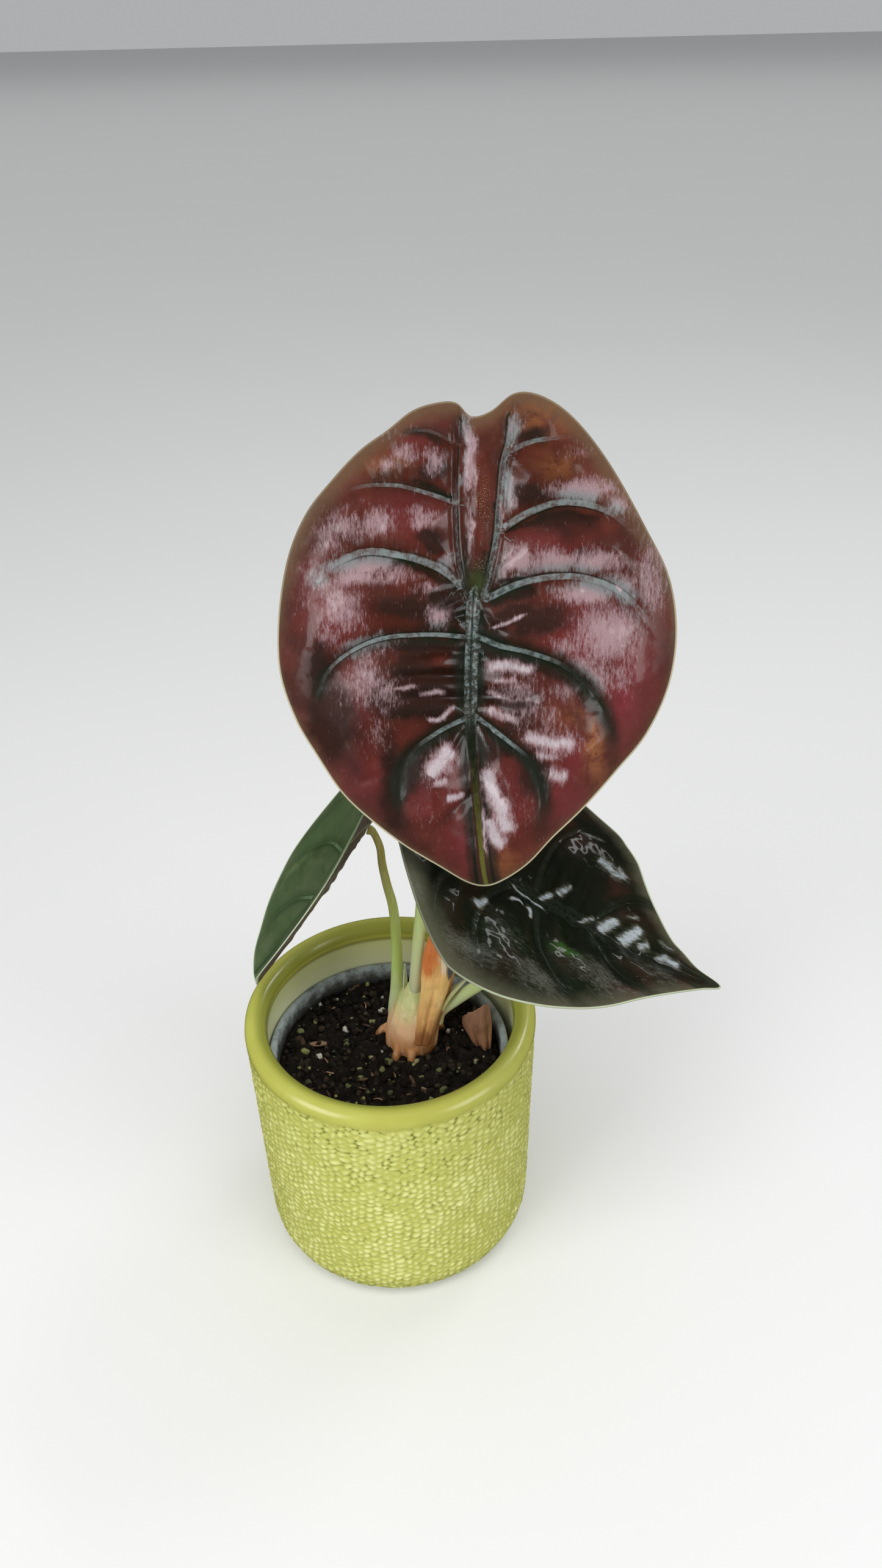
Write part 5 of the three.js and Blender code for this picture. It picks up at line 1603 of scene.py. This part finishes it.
class PLANT_OT_potting_mix(bpy.types.Operator):
    """Fill the nursery pot with crumbly mix, pale grains and bits of bark"""

    bl_idname = "plant.potting_mix"
    bl_label = "Potting mix"

    def body(self):
        low = NURSERY_FLOOR + NURSERY_WALL + 0.3
        wall = lambda z: float(nursery_inner(z)) - 0.3
        rings = np.linspace(1, 0, 60)
        profile = [(0, low), (wall(low) - 3.2, low), (wall(low + 5) - 0.4, low + 5),
                   *[(wall(z) - 0.2, z) for z in np.linspace(20, SOIL_LEVEL - 4, 12)],
                   *[(r * (wall(SOIL_LEVEL - 3) - 0.2), SOIL_LEVEL) for r in rings]]
        piece = spun("mix_body", profile, SOIL_STEPS)
        places = places_of(piece) / MM
        x, y = places[:, 0], places[:, 1]
        top = places[:, 2] > SOIL_LEVEL - 1
        flat = np.stack([x, y], -1)
        crumbs = layered(flat, (1.2, 3.4, 41), (0.7, 1.5, 42))
        places[:, 2] = np.where(top, potting_height(x, y) + crumbs, places[:, 2])
        places += np.array([NURSERY_AXIS.x, NURSERY_AXIS.y, 0])
        set_places(piece, places * MM)
        give_attribute(piece, "tone", 0.3 + 0.3 * lumps(flat, 2.2, 43))
        return piece

    def spread(self, draw, count, low, high, sink):
        """Seeded places on the top of the mix, clear of the stem, with a size for each."""
        places, sizes = [], []
        while len(places) < count:
            angle, away = TURN * draw.random(), SOIL_REACH * math.sqrt(draw.random())
            size = low + (high - low) * draw.random() ** 2
            x, y = away * math.cos(angle), away * math.sin(angle)
            at = (x + NURSERY_AXIS.x, y + NURSERY_AXIS.y)
            to_stem = math.hypot(at[0] - STEM_PLACE[0], at[1] - STEM_PLACE[1])
            if to_stem < STEM_CLEARANCE + size or away + 0.8 * size > SOIL_EDGE:
                continue
            places.append((*at, float(potting_height(x, y)) + size * sink))
            sizes.append(size)
        return np.array(places), sizes

    def turns(self, draw, count):
        return [(TURN * draw.random(), TURN * draw.random()) for _ in range(count)]

    def execute(self, context):
        look = context.scene.plant
        draw = np.random.default_rng(look.seed)
        body = self.body()
        stone = small_stone(1)
        places, sizes = self.spread(draw, look.crumbs, 0.45, 1.9, 0.25)
        crumbs = scattered("mix_crumbs", stone, places, sizes, self.turns(draw, len(sizes)),
                           draw.random(len(sizes)))
        mix = joined([body, crumbs], "potting_mix_crumbly")
        s = Shader("damp_mix")
        place = s.object_place()
        fine = s.noise(place, 800, 4, 0.7)
        colour = s.ramp(s.attribute("tone") * 0.7 + fine * 0.4,
                        [(0, tuple(0.4 * c for c in look.mix)), (0.5, look.mix), *MIX_LIGHT])
        damp = s.set(Base_Color=colour, Roughness=0.9, Specular_IOR_Level=0.2,
                     Normal=s.bump(fine, 0.5 * MM, 0.8))
        settle(mix, damp, "soil")

        pebble = small_stone(2)
        places, sizes = self.spread(draw, look.grains, 0.5, 1.75, 0.3)
        grains = scattered("pale_grains", pebble, places, sizes, self.turns(draw, len(sizes)),
                           draw.random(len(sizes)))
        settle(grains, grain_material("pale_grain", GRAIN_COLOURS, 0.75, 0.25))

        stick = small_stone(2)
        shape = places_of(stick)
        set_places(stick, shape * np.array([2.6, 0.62, 0.4]))
        places, sizes = self.spread(draw, BARK_COUNT, 0.8, 2, 0.35)
        flat_turns = [(0.35 * draw.random() - 0.17, TURN * draw.random()) for _ in sizes]
        bark = scattered("bark_bits", stick, places, sizes, flat_turns, draw.random(len(sizes)))
        settle(bark, grain_material("bark", BARK_COLOURS, 0.8, 0.4))

        places, lengths = self.spread(draw, look.fibres, 5, 13, 0)
        fibres = []
        for k, (place, length) in enumerate(zip(places, lengths)):
            turn, bend = TURN * draw.random(), 1.6 * draw.random() - 0.8
            shares = np.linspace(0, 1, 16)
            angles = turn + bend * shares
            way = np.stack([np.cumsum(np.cos(angles)), np.cumsum(np.sin(angles))], -1) * length / 16
            lift = SOIL_LEVEL + 0.6 + 1.5 * np.sin(math.pi * shares) * draw.random()
            line = np.column_stack([place[:2] + way - way[8], lift])
            fibres.append(tube(f"fibre_{k}", line, 0.42 - 0.25 * shares, 3))
        fibre = joined(fibres, "root_fibres")
        give_attribute(fibre, "tone", np.repeat(draw.random(1), len(fibre.data.vertices)))
        settle(fibre, grain_material("fibre", FIBRE_COLOURS, 0.7, 0.2))
        for used in (stone, pebble, stick):
            bpy.data.objects.remove(used)
        return {"FINISHED"}


class PLANT_OT_stem_base(bpy.types.Operator):
    """Grow the plump stem base with its stub roots"""

    bl_idname = "plant.stem_base"
    bl_label = "Stem base"

    def execute(self, context):
        look = context.scene.plant
        line = smooth_line(STEM_WAY, 12)
        shares = np.linspace(0, 1, 60)
        shape = np.array(STEM_RADII)
        radii = np.interp(shares, shape[:, 0], shape[:, 1])
        kernel = np.array([1, 2, 3, 2, 1]) / 9
        radii = np.convolve(np.pad(radii, 2, mode="edge"), kernel, "valid")
        parts = [tube("stem_body", along_line(line, shares), radii, 16)]
        for k, way in enumerate(ROOT_WAYS):
            root = along_line(smooth_line(way, 10), np.linspace(0, 1, 14))
            thick = 2.4 - 1.1 * np.linspace(0, 1, 14)
            parts.append(tube(f"root_{k}", root, thick, 6))
        stem = joined(parts, "stem_base_plump")
        apply_modifier(stem, "REMESH", mode="VOXEL", voxel_size=STEM_VOXEL * MM)
        apply_modifier(stem, "SMOOTH", factor=0.6, iterations=8)
        places = places_of(stem) / MM
        centre = np.array([9.2, 9.4])
        outwards = places[:, :2] - centre
        length = np.maximum(np.hypot(outwards[:, 0], outwards[:, 1]), 1)
        ways = np.column_stack([3.2 * outwards / length[:, None], places[:, 2] / 30])
        swell = (0.75 * lumps(ways, 1, 51) + 0.35 * lumps(places, 6, 52)
                 + 0.12 * lumps(places, 2, 53))
        places[:, :2] += outwards / length[:, None] * (swell - 0.35)[:, None]
        set_places(stem, places * MM)
        smoothed(stem)
        s = Shader("stem_skin")
        place = s.object_place()
        height = s.axis(place, 2)
        blots = s.noise(place, 130, 4, 0.6)
        strands = s.strands(place, (420, 420, 45), 3, 0.6)
        colour = s.ramp(s.step(height + (blots - 0.5) * 0.012, 0.094, 0.128),
                        [*STEM_LOW, (0.4, look.stem), *STEM_HIGH])
        colour = s.blend(s.step(blots, 0.52, 0.7) * 0.5, colour, STEM_BLOT)
        colour = s.blend(s.step(strands, 0.5, 0.68) * 0.5, colour, STEM_STRAND)
        skin = s.set(Base_Color=colour, Roughness=0.5, Subsurface_Weight=0.15,
                     Normal=s.bump(strands * 0.7 + blots * 0.3, 0.35 * MM, 0.7))
        settle(stem, skin, "stem_base")
        return {"FINISHED"}


class PLANT_OT_stalks(bpy.types.Operator):
    """Grow the three leaf stalks from the stem to the undersides of the blades"""

    bl_idname = "plant.stalks"
    bl_label = "Leaf stalks"

    def finish(self, look, name, top):
        s = Shader(f"stalk_{name}")
        place = s.object_place()
        height = s.axis(place, 2)
        streaks = s.strands(place, (420, 420, 26), 3, 0.6)
        blots = s.noise(place, 120, 3)
        colour = s.ramp(s.step(height, 0.1, top),
                        [*STALK_LOW, (0.3, look.stalk), *STALK_HIGH])
        colour = s.blend(s.step(streaks, 0.45, 0.7) * 0.4, colour, STALK_STREAK)
        colour = s.blend(s.step(blots, 0.6, 0.75) * 0.25, colour, STALK_BLOT)
        return s.set(Base_Color=colour, Roughness=0.36, Subsurface_Weight=0.2,
                     Normal=s.bump(streaks, 0.12 * MM, 0.6))

    def execute(self, context):
        look = context.scene.plant
        for name, way in STALK_WAYS.items():
            leaf = LEAVES[name]
            face = Vector(leaf_axes(leaf)[2])
            joint = Vector(leaf["stalk"])
            places = way + [tuple(joint - face * 3.6), tuple(joint - face * 0.9)]
            shares = np.linspace(0, 1, 150)
            line = along_line(smooth_line(places, 12), shares)
            stops = np.array(STALK_RADII[name])
            radii = np.interp(shares, stops[:, 0], stops[:, 1])
            radii = radii + 0.7 * bell((1 - shares) / 0.018) + 0.5 * bell(shares / 0.05)
            piece = tube(f"stalk_{name}", line, radii, 7)
            skin = self.finish(look, name, leaf["stalk"][2] * MM)
            settle(piece, skin, f"petiole_{name}")
        return {"FINISHED"}


class PLANT_OT_blades(bpy.types.Operator):
    """Grow the three blades with their veins, puckers and folds"""

    bl_idname = "plant.blades"
    bl_label = "Blades"

    def execute(self, context):
        plant = context.scene.plant
        for key, values in (("right", RIGHT_LOOK), ("left", LEFT_LOOK)):
            for name, value in values.items():
                setattr(getattr(plant, key), name, value)
        slots = {"front": "copper_blade", "right": "dark_blade", "left": "green_blade"}
        for name, slot in slots.items():
            look = getattr(plant, name)
            materials = [UpperFace(f"blade_{name}_upper", look).finish(),
                         blade_under(f"blade_{name}_under", look),
                         blade_rim(f"blade_{name}_rim", look)]
            piece = build_blade(name, materials)
            if underside_first(LEAVES[name], piece):
                piece.data.materials[0], piece.data.materials[1] = materials[1], materials[0]
            settle(piece, None, f"blade_{name}")
        return {"FINISHED"}


class PLANT_OT_sheaths(bpy.types.Operator):
    """Wrap the stalks in their dried and fresh sheaths"""

    bl_idname = "plant.sheaths"
    bl_label = "Sheaths"

    def execute(self, context):
        for name, sheath in SHEATHS.items():
            piece = build_sheath(name, fibrous(*sheath["skin"]))
            piece.name = f"{name}_fine"
            settle(piece, None, name)
        return {"FINISHED"}


class PLANT_PT_panel(bpy.types.Panel):
    """Lists the pieces of the plant and what can be changed on them"""

    bl_label = "Potted aroid"
    bl_idname = "PLANT_PT_panel"
    bl_space_type = "VIEW_3D"
    bl_region_type = "UI"
    bl_category = "Plant"

    def draw(self, context):
        layout = self.layout
        scene = context.scene
        for settings in (scene.plant_pot, scene.plant, scene.plant_stage):
            for key in settings.bl_rna.properties.keys():
                if key not in ("rna_type", "name", *LEAVES):
                    layout.prop(settings, key)
        for operator in OPERATORS:
            layout.operator(operator.bl_idname)


OPERATORS = (
    PLANT_OT_stage, PLANT_OT_cachepot, PLANT_OT_nursery_pot, PLANT_OT_potting_mix,
    PLANT_OT_stem_base, PLANT_OT_stalks, PLANT_OT_blades, PLANT_OT_sheaths,
)
CLASSES = (PotSettings, LeafLook, PlantSettings, StageSettings, *OPERATORS, PLANT_PT_panel)


def register():
    for cls in CLASSES:
        bpy.utils.register_class(cls)
    bpy.types.Scene.plant_pot = bpy.props.PointerProperty(type=PotSettings)
    bpy.types.Scene.plant = bpy.props.PointerProperty(type=PlantSettings)
    bpy.types.Scene.plant_stage = bpy.props.PointerProperty(type=StageSettings)


def unregister():
    del bpy.types.Scene.plant_stage
    del bpy.types.Scene.plant
    del bpy.types.Scene.plant_pot
    for cls in reversed(CLASSES):
        bpy.utils.unregister_class(cls)


def main():
    register()
    bpy.ops.plant.stage()
    bpy.ops.plant.cachepot()
    bpy.ops.plant.nursery_pot()
    bpy.ops.plant.potting_mix()
    bpy.ops.plant.stem_base()
    bpy.ops.plant.stalks()
    bpy.ops.plant.blades()
    bpy.ops.plant.sheaths()


if __name__ == "__main__":
    main()
